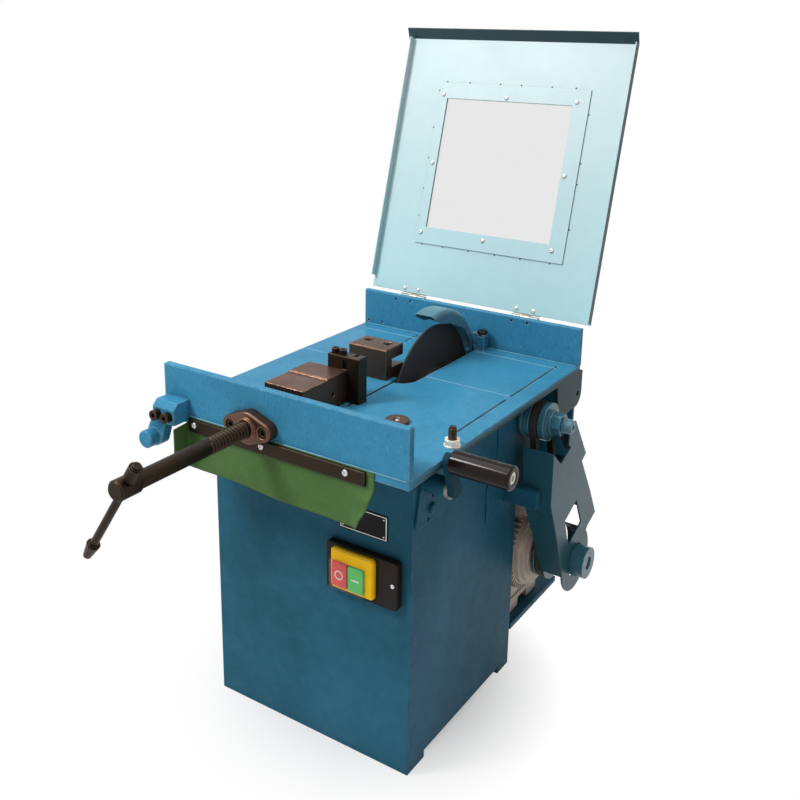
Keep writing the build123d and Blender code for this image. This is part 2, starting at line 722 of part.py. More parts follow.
# Safety cover
cover_plane = Plane(
    origin=(0, cover_foot_y, cover_foot_z),
    x_dir=(1, 0, 0),
    z_dir=(0, -cos(radians(cover_lean)), sin(radians(cover_lean))),
)
pin_local = cover_plane.to_local_coords(Vector(0, pin_y, pin_z))
lip_out = 9.3
lip_up = 14.3
with BuildPart(cover_plane) as cover_panel:
    block(cover_x, (0, cover_length), (-cover_sheet, 0))
    block((cover_x[0], cover_x[0] + cover_sheet), (flange_start, cover_length), (-cover_sheet, cover_flange))
    block((cover_x[1] - cover_sheet, cover_x[1]), (2.0, cover_length), (-cover_sheet, cover_flange))
    block(window_x, window_s, (-cover_sheet - 1, 1), Mode.SUBTRACT)
lip_section = Plane(origin=cover_plane.from_local_coords((cover_x[0] - 8.0, 0, 0)), x_dir=cover_plane.y_dir, z_dir=(1, 0, 0))
with cover_panel:
    with BuildSketch(lip_section):
        Polygon(
            (cover_length - 3, 0),
            (cover_length - 3, -cover_sheet),
            (cover_length, -cover_sheet),
            (cover_length + lip_up, lip_out - cover_sheet),
            (cover_length + lip_up - 1, lip_out),
            (cover_length - 1, 0),
        )
    extrude(amount=cover_x[1] - cover_x[0] + 8.0)
save(cover_panel, "cover_panel")

with BuildPart(cover_plane) as window_frame:
    block(frame_x, frame_s, (0, cover_sheet))
    block(window_x, window_s, (-1, cover_sheet + 1), Mode.SUBTRACT)
save(window_frame, "window_frame")

pane_lap = 12.0
pane_thickness = 3.0
with BuildPart(cover_plane) as window_pane:
    block(
        (window_x[0] - pane_lap, window_x[1] + pane_lap),
        (window_s[0] - pane_lap, window_s[1] + pane_lap),
        (-cover_sheet - pane_thickness, -cover_sheet),
    )
save(window_pane, "window_pane")

frame_screw_x = (window_x[0] - 7.5, middle(window_x) - 3, window_x[1] + 5.5)
frame_screw_s = (window_s[0] - 9.0, middle(window_s) - 1, window_s[1] + 5.5)
with BuildPart(cover_plane) as window_screws:
    for x in frame_screw_x:
        for s in frame_screw_s:
            if (x, s) != (frame_screw_x[1], frame_screw_s[1]):
                rod_z(x, s, (cover_sheet, cover_sheet + 1.6), 3.2)
save(window_screws, "window_screws")

# Hinges: the pin is fast in the lower leaf, the upper leaf turns on it
knuckle = hinge_width / 3
with BuildPart() as hinge_lower_leaves:
    for left in hinge_lefts:
        ends = ((left, left + knuckle - run_gap), (left + 2 * knuckle + run_gap, left + hinge_width))
        block((left, left + hinge_width), (table_rear, table_rear + 1.8), (456.0, pin_z - knuckle_radius - 0.5))
        for x in ends:
            rod_x(x, pin_y, pin_z, knuckle_radius)
            block(x, (table_rear, pin_y), (pin_z - knuckle_radius - 1, pin_z))
        rod_x((left, left + hinge_width), pin_y, pin_z, pin_radius)
save(hinge_lower_leaves, "hinge_lower_leaves")

leaf_z = (-cover_sheet - 1.8, -cover_sheet)
with BuildPart(cover_plane) as hinge_upper_leaves:
    for left in hinge_lefts:
        tongue = (left + knuckle, left + 2 * knuckle)
        block((left, left + hinge_width), (-1.0, 18.0), leaf_z)
        block(tongue, (pin_local.Y - 1.5, 0), leaf_z)
        block(tongue, (pin_local.Y - 1.5, pin_local.Y + 1.5), (leaf_z[0], pin_local.Z))
        rod_x(tongue, pin_local.Y, pin_local.Z, knuckle_radius)
        rod_x((left - 1, left + hinge_width + 1), pin_local.Y, pin_local.Z, pin_radius + slip, Mode.SUBTRACT)
save(hinge_upper_leaves, "hinge_upper_leaves")

# Swing frame: pivot tube, motor platform and two arms up to the spindle
lug_spans = ((-104.0, -96.0), (arm_left_x, arm_left_x + arm_thickness), (arm_right_x, arm_right_x + arm_thickness))
tube_x = (-110.0, 131.0)
with BuildPart() as swing_frame:
    rod_x(tube_x, pivot_y, pivot_z, tube_radius)
    with BuildSketch(Plane.XY.offset(platform_z[0])):
        Polygon(
            (-110.0, 88.0),
            (140.0, 88.0),
            (140.0, 138.0),
            (half_width, 138.0),
            (half_width, 292.0),
            (-80.0, 292.0),
            (-80.0, 138.0),
            (-110.0, 138.0),
        )
    extrude(amount=platform_z[1] - platform_z[0])
    for x in (arm_left_x, arm_right_x):
        extrude(
            hull_of(
                side_plane(x),
                [(pivot_y, pivot_z, arm_foot_radius), (wheel_y, wheel_z, arm_head_radius)],
            ),
            amount=arm_thickness,
        )
    for x in lug_spans:
        block(x, (90.0, 134.0), (platform_z[1], pivot_z))
    block((arm_left_x, arm_right_x), (128.0, 136.0), (235.0, 300.0))
    rod_x((link_x[0] - 3, arm_right_x + 1), link_pin_y, link_pin_z, crank_pin_radius)
    rod_x((tube_x[0] - 1, tube_x[1] + 1), pivot_y, pivot_z, pivot_radius + slip, Mode.SUBTRACT)
    rod_x((arm_left_x - 1, arm_right_x + 12), wheel_y, wheel_z, housing_radius + slip, Mode.SUBTRACT)
save(swing_frame, "swing_frame")

with BuildPart() as spindle_housing:
    rod_x(housing_x, wheel_y, wheel_z, housing_radius)
    chamfer(spindle_housing.edges(), 1.0)
    rod_x((housing_x[0] - 1, housing_x[1] + 1), wheel_y, wheel_z, bearing_radius - 3, Mode.SUBTRACT)
    for x in (
        (housing_x[0] - 1, housing_x[0] + bearing_width),
        (housing_x[1] - bearing_width, housing_x[1] + 1),
    ):
        rod_x(x, wheel_y, wheel_z, bearing_radius + slip, Mode.SUBTRACT)
save(spindle_housing, "spindle_housing")

with BuildPart() as spindle_bearings:
    for x in (
        (housing_x[0], housing_x[0] + bearing_width),
        (housing_x[1] - bearing_width, housing_x[1]),
    ):
        rod_x(x, wheel_y, wheel_z, bearing_radius)
        rod_x((x[0] - 1, x[1] + 1), wheel_y, wheel_z, spindle_radius + 0.03, Mode.SUBTRACT)
save(spindle_bearings, "spindle_bearings")

# Spindle group
wheel_span = (wheel_x - wheel_thickness / 2, wheel_x + wheel_thickness / 2)
outer_flange = (wheel_span[0] - flange_thickness, wheel_span[0])
inner_flange = (wheel_span[1], wheel_span[1] + flange_thickness)
nut_width = 12.0
with BuildPart() as spindle_shaft:
    rod_x((outer_flange[0] - nut_width - 5, 222.0), wheel_y, wheel_z, spindle_radius)
    chamfer(spindle_shaft.edges(), 1.5)
save(spindle_shaft, "spindle_shaft")

with BuildPart() as cutting_wheel:
    rod_x(wheel_span, wheel_y, wheel_z, wheel_radius)
    rod_x((wheel_span[0] - 1, wheel_span[1] + 1), wheel_y, wheel_z, spindle_radius + slip, Mode.SUBTRACT)
save(cutting_wheel, "cutting_wheel")

with BuildPart() as wheel_flanges:
    for x in (outer_flange, inner_flange):
        rod_x(x, wheel_y, wheel_z, flange_radius)
    chamfer(wheel_flanges.edges().group_by(Axis.X)[0], 3.0)
    rod_x((inner_flange[1], housing_x[0] - 2), wheel_y, wheel_z, 16.0)
    rod_x((outer_flange[0] - 1, housing_x[0]), wheel_y, wheel_z, spindle_radius + slip, Mode.SUBTRACT)
save(wheel_flanges, "wheel_flanges")

pulley_nut_x = (195.0, 208.0)
with BuildPart() as spindle_nuts:
    extrude(hexagon(side_plane(outer_flange[0] - nut_width), (wheel_y, wheel_z), 30.0), amount=nut_width)
    extrude(hexagon(side_plane(pulley_nut_x[0]), (wheel_y, wheel_z), 27.0), amount=pulley_nut_x[1] - pulley_nut_x[0])
    rod_x((-60.0, 230.0), wheel_y, wheel_z, spindle_radius + slip, Mode.SUBTRACT)
save(spindle_nuts, "spindle_nuts")


def pulley(y, z, span, rim, bore, hub_x, hub):
    """A single-groove pulley with a boss on its outer side."""
    root = rim - belt_depth - 1.2
    with BuildPart() as wheel:
        with BuildSketch(Plane(origin=(0, y, z), x_dir=(1, 0, 0), z_dir=(0, -1, 0))):
            Polygon(
                (span[0], bore),
                (span[0], rim),
                (groove_x - belt_width / 2 - 2.2, rim),
                (groove_x - belt_width / 2 - run_gap, root),
                (groove_x + belt_width / 2 + run_gap, root),
                (groove_x + belt_width / 2 + 2.2, rim),
                (span[1], rim),
                (span[1], hub),
                (hub_x, hub),
                (hub_x, bore),
            )
        revolve(axis=Axis((0, y, z), (1, 0, 0)))
    return wheel


spindle_pulley = pulley(
    wheel_y, wheel_z, pulley_x, spindle_pulley_radius, spindle_radius + slip, pulley_nut_x[0], 17.0
)
save(spindle_pulley, "spindle_pulley")

# Motor: finned body on feet, drive end shield, fan cover, terminal box
foot_pads = ((20.0, 46.0), (112.0, 136.0))
pad_spans = ((158.0, 188.0), (218.0, 248.0))
pad_top = 73.0
foot_top = 81.0
box_z = (219.5, 258.0)
with BuildPart() as motor_body:
    rod_x(motor_x, motor_y, motor_z, motor_radius)
    for index in range(fin_count):
        turn = 360 * index / fin_count
        with Locations(Location((middle(motor_x), motor_y, motor_z), (turn, 0, 0))):
            with Locations((0, 0, motor_radius + fin_height / 2 - 1)):
                Box(motor_x[1] - motor_x[0] - 2, 2.6, fin_height + 2)
    block((112.0, 142.0), (172.0, 205.0), (200.0, box_z[0]))
    for x in foot_pads:
        block(x, (156.0, 250.0), (pad_top, foot_top))
    for x in ((24.0, 42.0), (118.0, 134.0)):
        block(x, (166.0, 240.0), (foot_top, 110.0))
save(motor_body, "motor_body")

with BuildPart() as motor_pads:
    for x in foot_pads:
        for y in pad_spans:
            block(x, y, (platform_z[1], pad_top))
save(motor_pads, "motor_pads")

shield_steps = ((146.0, 152.0, 55.5), (152.0, 158.0, 50.0), (158.0, 162.0, 42.0), (162.0, 165.0, 28.0))
with BuildPart() as motor_end_shield:
    for start, stop, radius in shield_steps:
        rod_x((start, stop), motor_y, motor_z, radius)
    rod_x((145.0, 166.0), motor_y, motor_z, motor_shaft_radius + slip, Mode.SUBTRACT)
save(motor_end_shield, "motor_end_shield")

fan_end = motor_x[0] - 36.0
with BuildPart() as fan_cover:
    rod_x((fan_end, motor_x[0]), motor_y, motor_z, 62.0)
    fillet(fan_cover.edges().group_by(Axis.X)[0], 14.0)
    for index in range(12):
        turn = 360 * index / 12
        with Locations(Location((fan_end, motor_y, motor_z), (turn, 0, 0))):
            with Locations((0, 0, 30.0)):
                Box(8.0, 5.0, 26.0, mode=Mode.SUBTRACT)
save(fan_cover, "fan_cover")

with BuildPart() as terminal_box:
    block((104.0, 158.0), (167.0, 196.0), box_z)
    fillet(terminal_box.edges().filter_by(Axis.Z), 5.0)
    fillet(terminal_box.edges().group_by(Axis.Z)[-1], 2.0)
save(terminal_box, "terminal_box")

with BuildPart() as motor_shaft:
    rod_x((motor_x[1], hub_end - 3), motor_y, motor_z, motor_shaft_radius)
    chamfer(motor_shaft.edges(), 1.0)
save(motor_shaft, "motor_shaft")

motor_pulley = pulley(
    motor_y, motor_z, motor_pulley_x, motor_pulley_radius, motor_shaft_radius + slip, hub_end, hub_radius
)
save(motor_pulley, "motor_pulley")

# Belt: one loop that wraps both pulleys
belt_x = groove_x - belt_width / 2
with BuildPart() as drive_belt:
    for inset, mode in ((0.5, Mode.ADD), (0.5 + belt_depth, Mode.SUBTRACT)):
        extrude(
            hull_of(
                side_plane(belt_x),
                [
                    (wheel_y, wheel_z, spindle_pulley_radius - inset),
                    (motor_y, motor_z, motor_pulley_radius - inset),
                ],
            ),
            amount=belt_width,
            mode=mode,
        )
save(drive_belt, "drive_belt")

# Belt guard: folded plate outside the belt, bolted to a bar from the swing frame
guard_outline = (
    (104.0, 352.5),
    (129.0, 330.0),
    (160.0, 343.0),
    (152.0, 350.0),
    (153.0, 366.0),
    (172.0, 377.0),
    (216.0, 314.0),
    (203.0, 307.0),
    (242.0, 247.0),
    (269.0, 201.0),
    (241.0, 190.0),
    (203.0, 150.0),
    (159.0, 147.0),
    (133.0, 215.0),
    (104.0, 280.0),
)
guard_window = ((193.0, 252.0), (216.0, 208.0), (173.0, 190.0), (156.0, 235.0))
fold_front = ((104.0, 352.5), (104.0, 280.0), (133.0, 215.0), (159.0, 147.0))
fold_back = ((161.0, 147.8), (135.0, 215.8), (106.0, 280.4), (106.0, 352.5))
flange_upper_x = 170.0
flange_taper = ((169.0, 360.0), (170.0, 359.0), (174.0, 280.0), (178.0, 215.0), (184.0, 147.0), (184.0, 140.0), (169.0, 140.0))
guard_end_radius = 46.0
rim_x = 184.0
rear_fold_upper = ((181.0, 364.0), (216.0, 314.0), (214.4, 312.9), (179.4, 362.9))
rear_fold_lower = ((203.0, 307.0), (242.0, 247.0), (266.0, 206.0), (264.3, 205.0), (240.3, 246.0), (201.3, 305.9))
rear_fold_x = (182.0, 170.0)
with BuildPart() as belt_guard:
    with BuildSketch(side_plane(guard_x[0])):
        Polygon(*guard_outline)
        with Locations((motor_y, motor_z)):
            Circle(guard_end_radius)
        Polygon(*guard_window, mode=Mode.SUBTRACT)
        with Locations((motor_y, motor_z)):
            Circle(hub_radius + 1.5, mode=Mode.SUBTRACT)
    extrude(amount=guard_x[1] - guard_x[0])
    with BuildSketch(side_plane(flange_upper_x)):
        Polygon(*fold_front, *fold_back)
    extrude(amount=guard_x[0] - flange_upper_x)
    with BuildSketch(front_plane(172.0)):
        Polygon(*flange_taper)
    extrude(amount=82.0, mode=Mode.SUBTRACT)
    with BuildSketch(side_plane(rim_x)):
        with Locations((motor_y, motor_z)):
            Circle(guard_end_radius)
            Circle(guard_end_radius - 2, mode=Mode.SUBTRACT)
        with Locations((motor_y + 34, motor_z + 4)):
            Rectangle(40.0, 74.0, mode=Mode.INTERSECT)
    extrude(amount=guard_x[0] - rim_x)
    for x, fold in zip(rear_fold_x, (rear_fold_upper, rear_fold_lower)):
        with BuildSketch(side_plane(x)):
            Polygon(*fold)
        extrude(amount=guard_x[0] - x)
save(belt_guard, "belt_guard")

bar_y = (91.0, 104.0)
bar_z = (275.0, 298.0)
arm_face = arm_right_x + arm_thickness
with BuildPart() as guard_bracket:
    block((arm_face, arm_face + 8), (bar_y[0], 142.0), (bar_z[0] - 5, bar_z[1] + 5))
    block((arm_face, 200.0), bar_y, bar_z)
    chamfer(guard_bracket.edges().group_by(Axis.X)[-1], 1.0)
save(guard_bracket, "guard_bracket")

# Feed lever group
lever_end = lever_x[1] - 2.2
crank_pin_y = lever_y + crank_radius * sin(radians(crank_angle))
crank_pin_z = lever_z + crank_radius * cos(radians(crank_angle))
with BuildPart() as feed_shaft:
    rod_x((crank_x[0] + 1, lever_end), lever_y, lever_z, shaft_radius)
    chamfer(feed_shaft.edges(), 0.8)
    rod_x((bush_x[1] + run_gap, lever_x[0] - slip), lever_y, lever_z, 12.0)
    extrude(
        hull_of(side_plane(crank_x[0]), [(lever_y, lever_z, 11.0), (crank_pin_y, crank_pin_z, 7.0)]),
        amount=crank_x[1] - crank_x[0],
    )
    rod_x((link_x[0] - 3, crank_x[0] + 1), crank_pin_y, crank_pin_z, crank_pin_radius)
save(feed_shaft, "feed_shaft")

with BuildPart() as feed_lever:
    extrude(
        hull_of(side_plane(lever_x[0]), [(lever_y, lever_z, 9.5), (grip_y, grip_z, 8.5)]),
        amount=lever_x[1] - lever_x[0],
    )
    chamfer(feed_lever.edges().group_by(Axis.X)[-1], 0.8)
    rod_x((lever_x[0] - 1, lever_end + slip), lever_y, lever_z, shaft_radius + slip, Mode.SUBTRACT)
    rod_x((lever_x[0] - 1, lever_x[1] + 1), grip_y, grip_z, 4.0 + slip, Mode.SUBTRACT)
save(feed_lever, "feed_lever")

grip_bolt_head = (262.0, 266.0)
with BuildPart() as grip_bolt:
    rod_x((lever_x[0], grip_bolt_head[0] + 1), grip_y, grip_z, 4.0)
    rod_x(grip_bolt_head, grip_y, grip_z, 7.0)
    rod_x((grip_bolt_head[1] - 2.5, grip_bolt_head[1] + 1), grip_y, grip_z, 3.5, Mode.SUBTRACT)
save(grip_bolt, "grip_bolt")

with BuildPart() as feed_grip:
    rod_x(grip_x, grip_y, grip_z, grip_radius)
    fillet(feed_grip.edges(), 2.5)
    rod_x((grip_x[0] - 1, grip_x[1] + 1), grip_y, grip_z, 4.06, Mode.SUBTRACT)
    rod_x((grip_bolt_head[0] - run_gap, grip_x[1] + 1), grip_y, grip_z, 7.5, Mode.SUBTRACT)
save(feed_grip, "feed_grip")

# Link from the crank to the swing frame; its front eye is a slot, so that the crank's arc has room
slot_low = crank_pin_z - 0.2
slot_high = crank_pin_z + 5.1
slot_radius = 4.8
with BuildPart() as feed_link:
    extrude(
        hull_of(
            side_plane(link_x[0]),
            [(link_pin_y, link_pin_z, 9.0), (crank_pin_y, (slot_low + slot_high) / 2, 10.5)],
        ),
        amount=link_x[1] - link_x[0],
    )
    extrude(
        hull_of(
            side_plane(link_x[0]),
            [(crank_pin_y, slot_low, slot_radius), (crank_pin_y, slot_high, slot_radius)],
        ),
        amount=link_x[1] - link_x[0],
        mode=Mode.SUBTRACT,
    )
    rod_x((link_x[0] - 1, link_x[1] + 1), link_pin_y, link_pin_z, crank_pin_radius + 0.06, Mode.SUBTRACT)
save(feed_link, "feed_link")
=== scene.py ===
import math

import bmesh
import bpy
from bpy.props import FloatProperty, FloatVectorProperty, IntProperty, PointerProperty
from mathutils import Matrix, Vector


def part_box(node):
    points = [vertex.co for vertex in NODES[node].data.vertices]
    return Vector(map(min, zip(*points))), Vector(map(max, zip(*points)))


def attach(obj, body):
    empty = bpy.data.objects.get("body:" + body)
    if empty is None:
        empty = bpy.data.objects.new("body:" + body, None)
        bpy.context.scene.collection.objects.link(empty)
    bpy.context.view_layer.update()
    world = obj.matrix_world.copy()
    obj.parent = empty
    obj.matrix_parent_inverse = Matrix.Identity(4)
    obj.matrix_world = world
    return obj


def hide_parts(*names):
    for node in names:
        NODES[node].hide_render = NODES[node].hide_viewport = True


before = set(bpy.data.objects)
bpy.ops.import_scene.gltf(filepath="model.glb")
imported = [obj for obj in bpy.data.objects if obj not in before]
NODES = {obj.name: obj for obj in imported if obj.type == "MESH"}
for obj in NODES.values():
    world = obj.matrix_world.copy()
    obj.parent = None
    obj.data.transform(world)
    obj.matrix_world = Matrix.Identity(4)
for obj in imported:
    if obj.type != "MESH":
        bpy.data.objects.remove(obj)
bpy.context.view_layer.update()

bl_info = {
    "name": "Bar cutting machine",
    "version": (1, 0, 0),
    "blender": (4, 5, 0),
    "location": "3D View > Sidebar > Bar Cutter",
    "description": "Dresses the bar cutting machine with finishes, threads, screws, marks and a splash flap",
    "category": "Object",
}

# Shared places and directions, in metres

TO_RIGHT = Vector((1, 0, 0))
TO_FRONT = Vector((0, -1, 0))
TO_REAR = Vector((0, 1, 0))
UP = Vector((0, 0, 1))
COVER_LEAN = math.radians(15.73)
COVER_FRONT = Vector((0, -math.cos(COVER_LEAN), math.sin(COVER_LEAN)))
COVER_CLIMB = Vector((0, math.sin(COVER_LEAN), math.cos(COVER_LEAN)))
TABLE_TOP = 0.425
FLAP_FOLD = -0.1318

# Turn that lays an upright shape's axis to the right
ONTO_RIGHT = Matrix.Rotation(math.radians(90), 4, "Y")

# Depth that small raised forms reach into the face that carries them
SEATED = 0.0002


# Settings

def colour(name, description, value):
    """A colour setting."""
    return FloatVectorProperty(
        name=name, description=description, subtype="COLOR", size=3, min=0, max=1, default=value,
    )


def number(name, description, value, **more):
    """A number setting."""
    return FloatProperty(name=name, description=description, default=value, **more)


def length(name, description, value):
    """A length setting in metres."""
    return number(name, description, value, subtype="DISTANCE", unit="LENGTH")


class BARCUT_PG_finish(bpy.types.PropertyGroup):
    """Colours of the finishes"""

    enamel: colour("Enamel", "Blue machine enamel", (0.050, 0.266, 0.440))
    enamel_dark: colour("Enamel shade", "Darker patches of the blue enamel", (0.036, 0.190, 0.320))
    # Wear and painted highlight: a whitish blue along the rubbed edges.
    enamel_edge_highlight: colour("Enamel edge and highlight", "Blue enamel where its edges are rubbed, lightened as a painted highlight", (0.36, 0.56, 0.66))
    # Painted shade: a dark colour for the table's right side and the lug below its edge, which stand in
    # shadow.
    enamel_side_shade: colour("Painted side shade", "Painted shade on the table's right side and below its edge", (0.036, 0.072, 0.080))
    # Painted shade: a darker copy of the blue enamel for the cabinet and the head, which stand in shade.
    sheet: colour("Cabinet enamel", "Enamel of the cabinet and the head, darkened as painted shade", (0.026, 0.126, 0.206))
    sheet_dark: colour("Cabinet shade", "Darker patches of the cabinet", (0.013, 0.082, 0.122))
    # Seam filler and painted highlight: the seams are lighter than the table.
    seam: colour("Seam paint", "Paint that fills the table's seams, lightened as a painted highlight", (0.17, 0.40, 0.54))
    seam_dark: colour("Seam shade", "Darker patches of the seams", (0.11, 0.30, 0.42))
    # Painted light: the cover's pale inside is a lit copy of its blue, and its dark outside is a shaded
    # copy.
    pale: colour("Lit cover enamel", "Inside of the safety cover", (0.482, 0.608, 0.625))
    pale_low: colour("Lit cover enamel below", "Inside of the cover near its hinges", (0.415, 0.642, 0.673))
    teal: colour("Shaded cover outside", "Outside and edges of the safety cover", (0.011, 0.040, 0.050))
    iron: colour("Blackened iron", "Brown-black finish of the vice jaws", (0.118, 0.063, 0.042))
    oxide: colour("Black oxide", "Finish of the vice screw and bolts", (0.030, 0.020, 0.012))
    bright: colour("Bright steel", "Bare or plated steel", (0.56, 0.56, 0.54))
    zinc: colour("Yellow zinc", "Plating of the nut on the table and of the grip's bolt", (0.80, 0.76, 0.64))
    hinge: colour("Hinge zinc", "Plating of the hinges' upper leaves", (0.50, 0.44, 0.34))
    alloy: colour("Cast alloy", "Motor housing", (0.66, 0.55, 0.46))
    fan: colour("Fan cover", "Plastic of the motor's fan cover", (0.30, 0.31, 0.31))
    flap: colour("Flap", "Green splash flap", (0.062, 0.145, 0.034))
    # Painted shade: a dark copy of the enamel for the feed lever and the spindle housing, which lie in
    # shadow.
    lever: colour("Shaded lever enamel", "Enamel of the feed lever, darkened as painted shade", (0.012, 0.062, 0.088))
    belt: colour("Belt", "Worn rubber belt", (0.035, 0.024, 0.018))
    abrasive: colour("Abrasive", "Resin-bonded cutting wheel", (0.020, 0.019, 0.018))
    abrasive_edge: colour("Abrasive edge", "Rubbed rim of the cutting wheel", (0.16, 0.12, 0.09))
    grip: colour("Grip", "Polished grip", (0.010, 0.005, 0.003))
    # Painted shade: the belt guard gets a glossier dark copy of the cabinet's shaded blue.
    guard: colour("Shaded guard enamel", "Glossier enamel of the belt guard, darkened as painted shade", (0.020, 0.098, 0.130))
    hood: colour("Hood enamel", "Rubbed enamel of the wheel hood", (0.105, 0.250, 0.330))
    pulley: colour("Pulley enamel", "Glossy enamel of pulleys and spindle end", (0.048, 0.185, 0.260))
    pane: colour("Window pane", "Acrylic of the cover's window", (0.80, 0.80, 0.80))
    film: colour("Button film", "Scuffs of the clear film over the buttons", (0.86, 0.72, 0.62))
    switch: colour("Switch plate", "Black plastic of the switch", (0.014, 0.010, 0.007))
    yellow: colour("Bezel", "Yellow switch bezel", (1.0, 0.57, 0.001))
    red: colour("Off button", "Red push button", (0.78, 0.055, 0.06))
    green: colour("On button", "Green push button", (0.07, 0.56, 0.11))
    mark: colour("Button marks", "White marks of the buttons", (0.85, 0.85, 0.82))
    plate: colour("Nameplate", "Black ground of the bare nameplate", (0.007, 0.007, 0.007))


class BARCUT_PG_sizes(bpy.types.PropertyGroup):
    """Sizes of the dressed pieces"""

    screw_pitch: length("Vice screw pitch", "Advance of the vice screw in one turn", 0.005)
    stud_pitch: length("Stud pitch", "Advance of the stud's thread in one turn", 0.0015)
    spindle_pitch: length("Spindle pitch", "Advance of the spindle's thread in one turn", 0.002)
    flap_width: length("Flap width", "Greatest width of the splash flap's cut", 0.297)
    flap_drop: length("Flap drop", "Height that the splash flap was cut to", 0.0615)
    flap_thickness: length("Flap thickness", "Thickness of the flap's sheet", 0.0012)
    bead_width: length("Bead width", "Width of the paint-filled seams on the table", 0.0018)
    mark_height: length("Mark height", "Relief of the marks on the buttons", 0.0004)
    film_thickness: length("Film thickness", "Wall of the clear film over the buttons", 0.0004)
    thread_steps: IntProperty(name="Thread steps", description="Steps in a turn", default=28, min=8)


class BARCUT_PG_stage(bpy.types.PropertyGroup):
    """Camera, lamps and floor"""

    lens: number("Lens", "Focal length of the camera", 44.1, subtype="DISTANCE_CAMERA")
    key: number("Key lamp", "Power of the lamp at the front left", 68.0, subtype="POWER")
    fill: number("Fill lamp", "Power of the lamp at the right", 1.5, subtype="POWER")
    top: number("Top lamp", "Power of the lamp overhead", 33.5, subtype="POWER")
    sky: number("Room light", "Strength of the even light of the room", 0.27)
    floor: colour("Floor", "Pale floor", (0.86, 0.86, 0.86))


# Node helpers

def fill(tree, made, **values):
    """Sets a node's inputs, by name or by place as i0, i1; another node's output is linked."""
    for key, value in values.items():
        by_place = key[0] == "i" and key[1:].isdigit()
        socket = made.inputs[int(key[1:]) if by_place else key.replace("_", " ")]
        if isinstance(value, bpy.types.NodeSocket):
            tree.links.new(value, socket)
        else:
            socket.default_value = value
    return made.outputs


def node(tree, kind, **values):
    """The outputs of a new node; its options are given as set_NAME, its inputs as in fill."""
    made = tree.nodes.new(kind)
    for key in [key for key in values if key.startswith("set_")]:
        setattr(made, key[4:], values.pop(key))
    return fill(tree, made, **values)


def maths(tree, operation, first, second, clamp=False):
    """One arithmetic step."""
    return node(tree, "ShaderNodeMath", set_operation=operation, set_use_clamp=clamp, i0=first, i1=second)[0]


def times(tree, first, second, clamp=False):
    """Two values multiplied."""
    return maths(tree, "MULTIPLY", first, second, clamp)


def vectors(tree, operation, first, second=(0, 0, 0)):
    """One step with vectors, with the outputs Vector and Value."""
    return node(tree, "ShaderNodeVectorMath", set_operation=operation, i0=first, i1=second)


def split(tree, vector):
    """The X, Y and Z of a vector."""
    return node(tree, "ShaderNodeSeparateXYZ", i0=vector)


def mix(tree, mask, under, over):
    """One colour laid over another by a mask."""
    return node(tree, "ShaderNodeMix", set_data_type="RGBA", i0=mask, i6=under, i7=over)[2]


def spread(tree, value, low, high, to_low=0.0, to_high=1.0):
    """A value stretched from one span to another."""
    return node(tree, "ShaderNodeMapRange", i0=value, i1=low, i2=high, i3=to_low, i4=to_high)[0]


def place(tree, kind="Object"):
    """The shaded point's place on the object, or its normal."""
    return node(tree, "ShaderNodeTexCoord")[kind]


def noise(tree, scale, detail, rough, where=None):
    """Soft noise from 0 to 1, on the object unless a place is given."""
    spot = where or place(tree)
    return node(tree, "ShaderNodeTexNoise", Vector=spot, Scale=scale, Detail=detail, Roughness=rough)["Fac"]


SOCKET_KINDS = {
    "Colour": "NodeSocketColor",
    "Shade": "NodeSocketColor",
    "Along": "NodeSocketVector",
    "Normal": "NodeSocketVector",
}


def group(name, inputs, outputs):
    """An empty shader group with named sockets, plain numbers unless listed above."""
    tree = bpy.data.node_groups.new(name, "ShaderNodeTree")
    for way, titles in (("INPUT", inputs), ("OUTPUT", outputs)):
        for title in titles:
            kind = SOCKET_KINDS.get(title, "NodeSocketFloat")
            tree.interface.new_socket(title, in_out=way, socket_type=kind)
    return tree, tree.nodes.new("NodeGroupInput").outputs, tree.nodes.new("NodeGroupOutput")


def use(tree, name, **values):
    """Places a group in a material with its own values and returns its outputs."""
    return node(tree, "ShaderNodeGroup", set_node_tree=bpy.data.node_groups[name], **values)


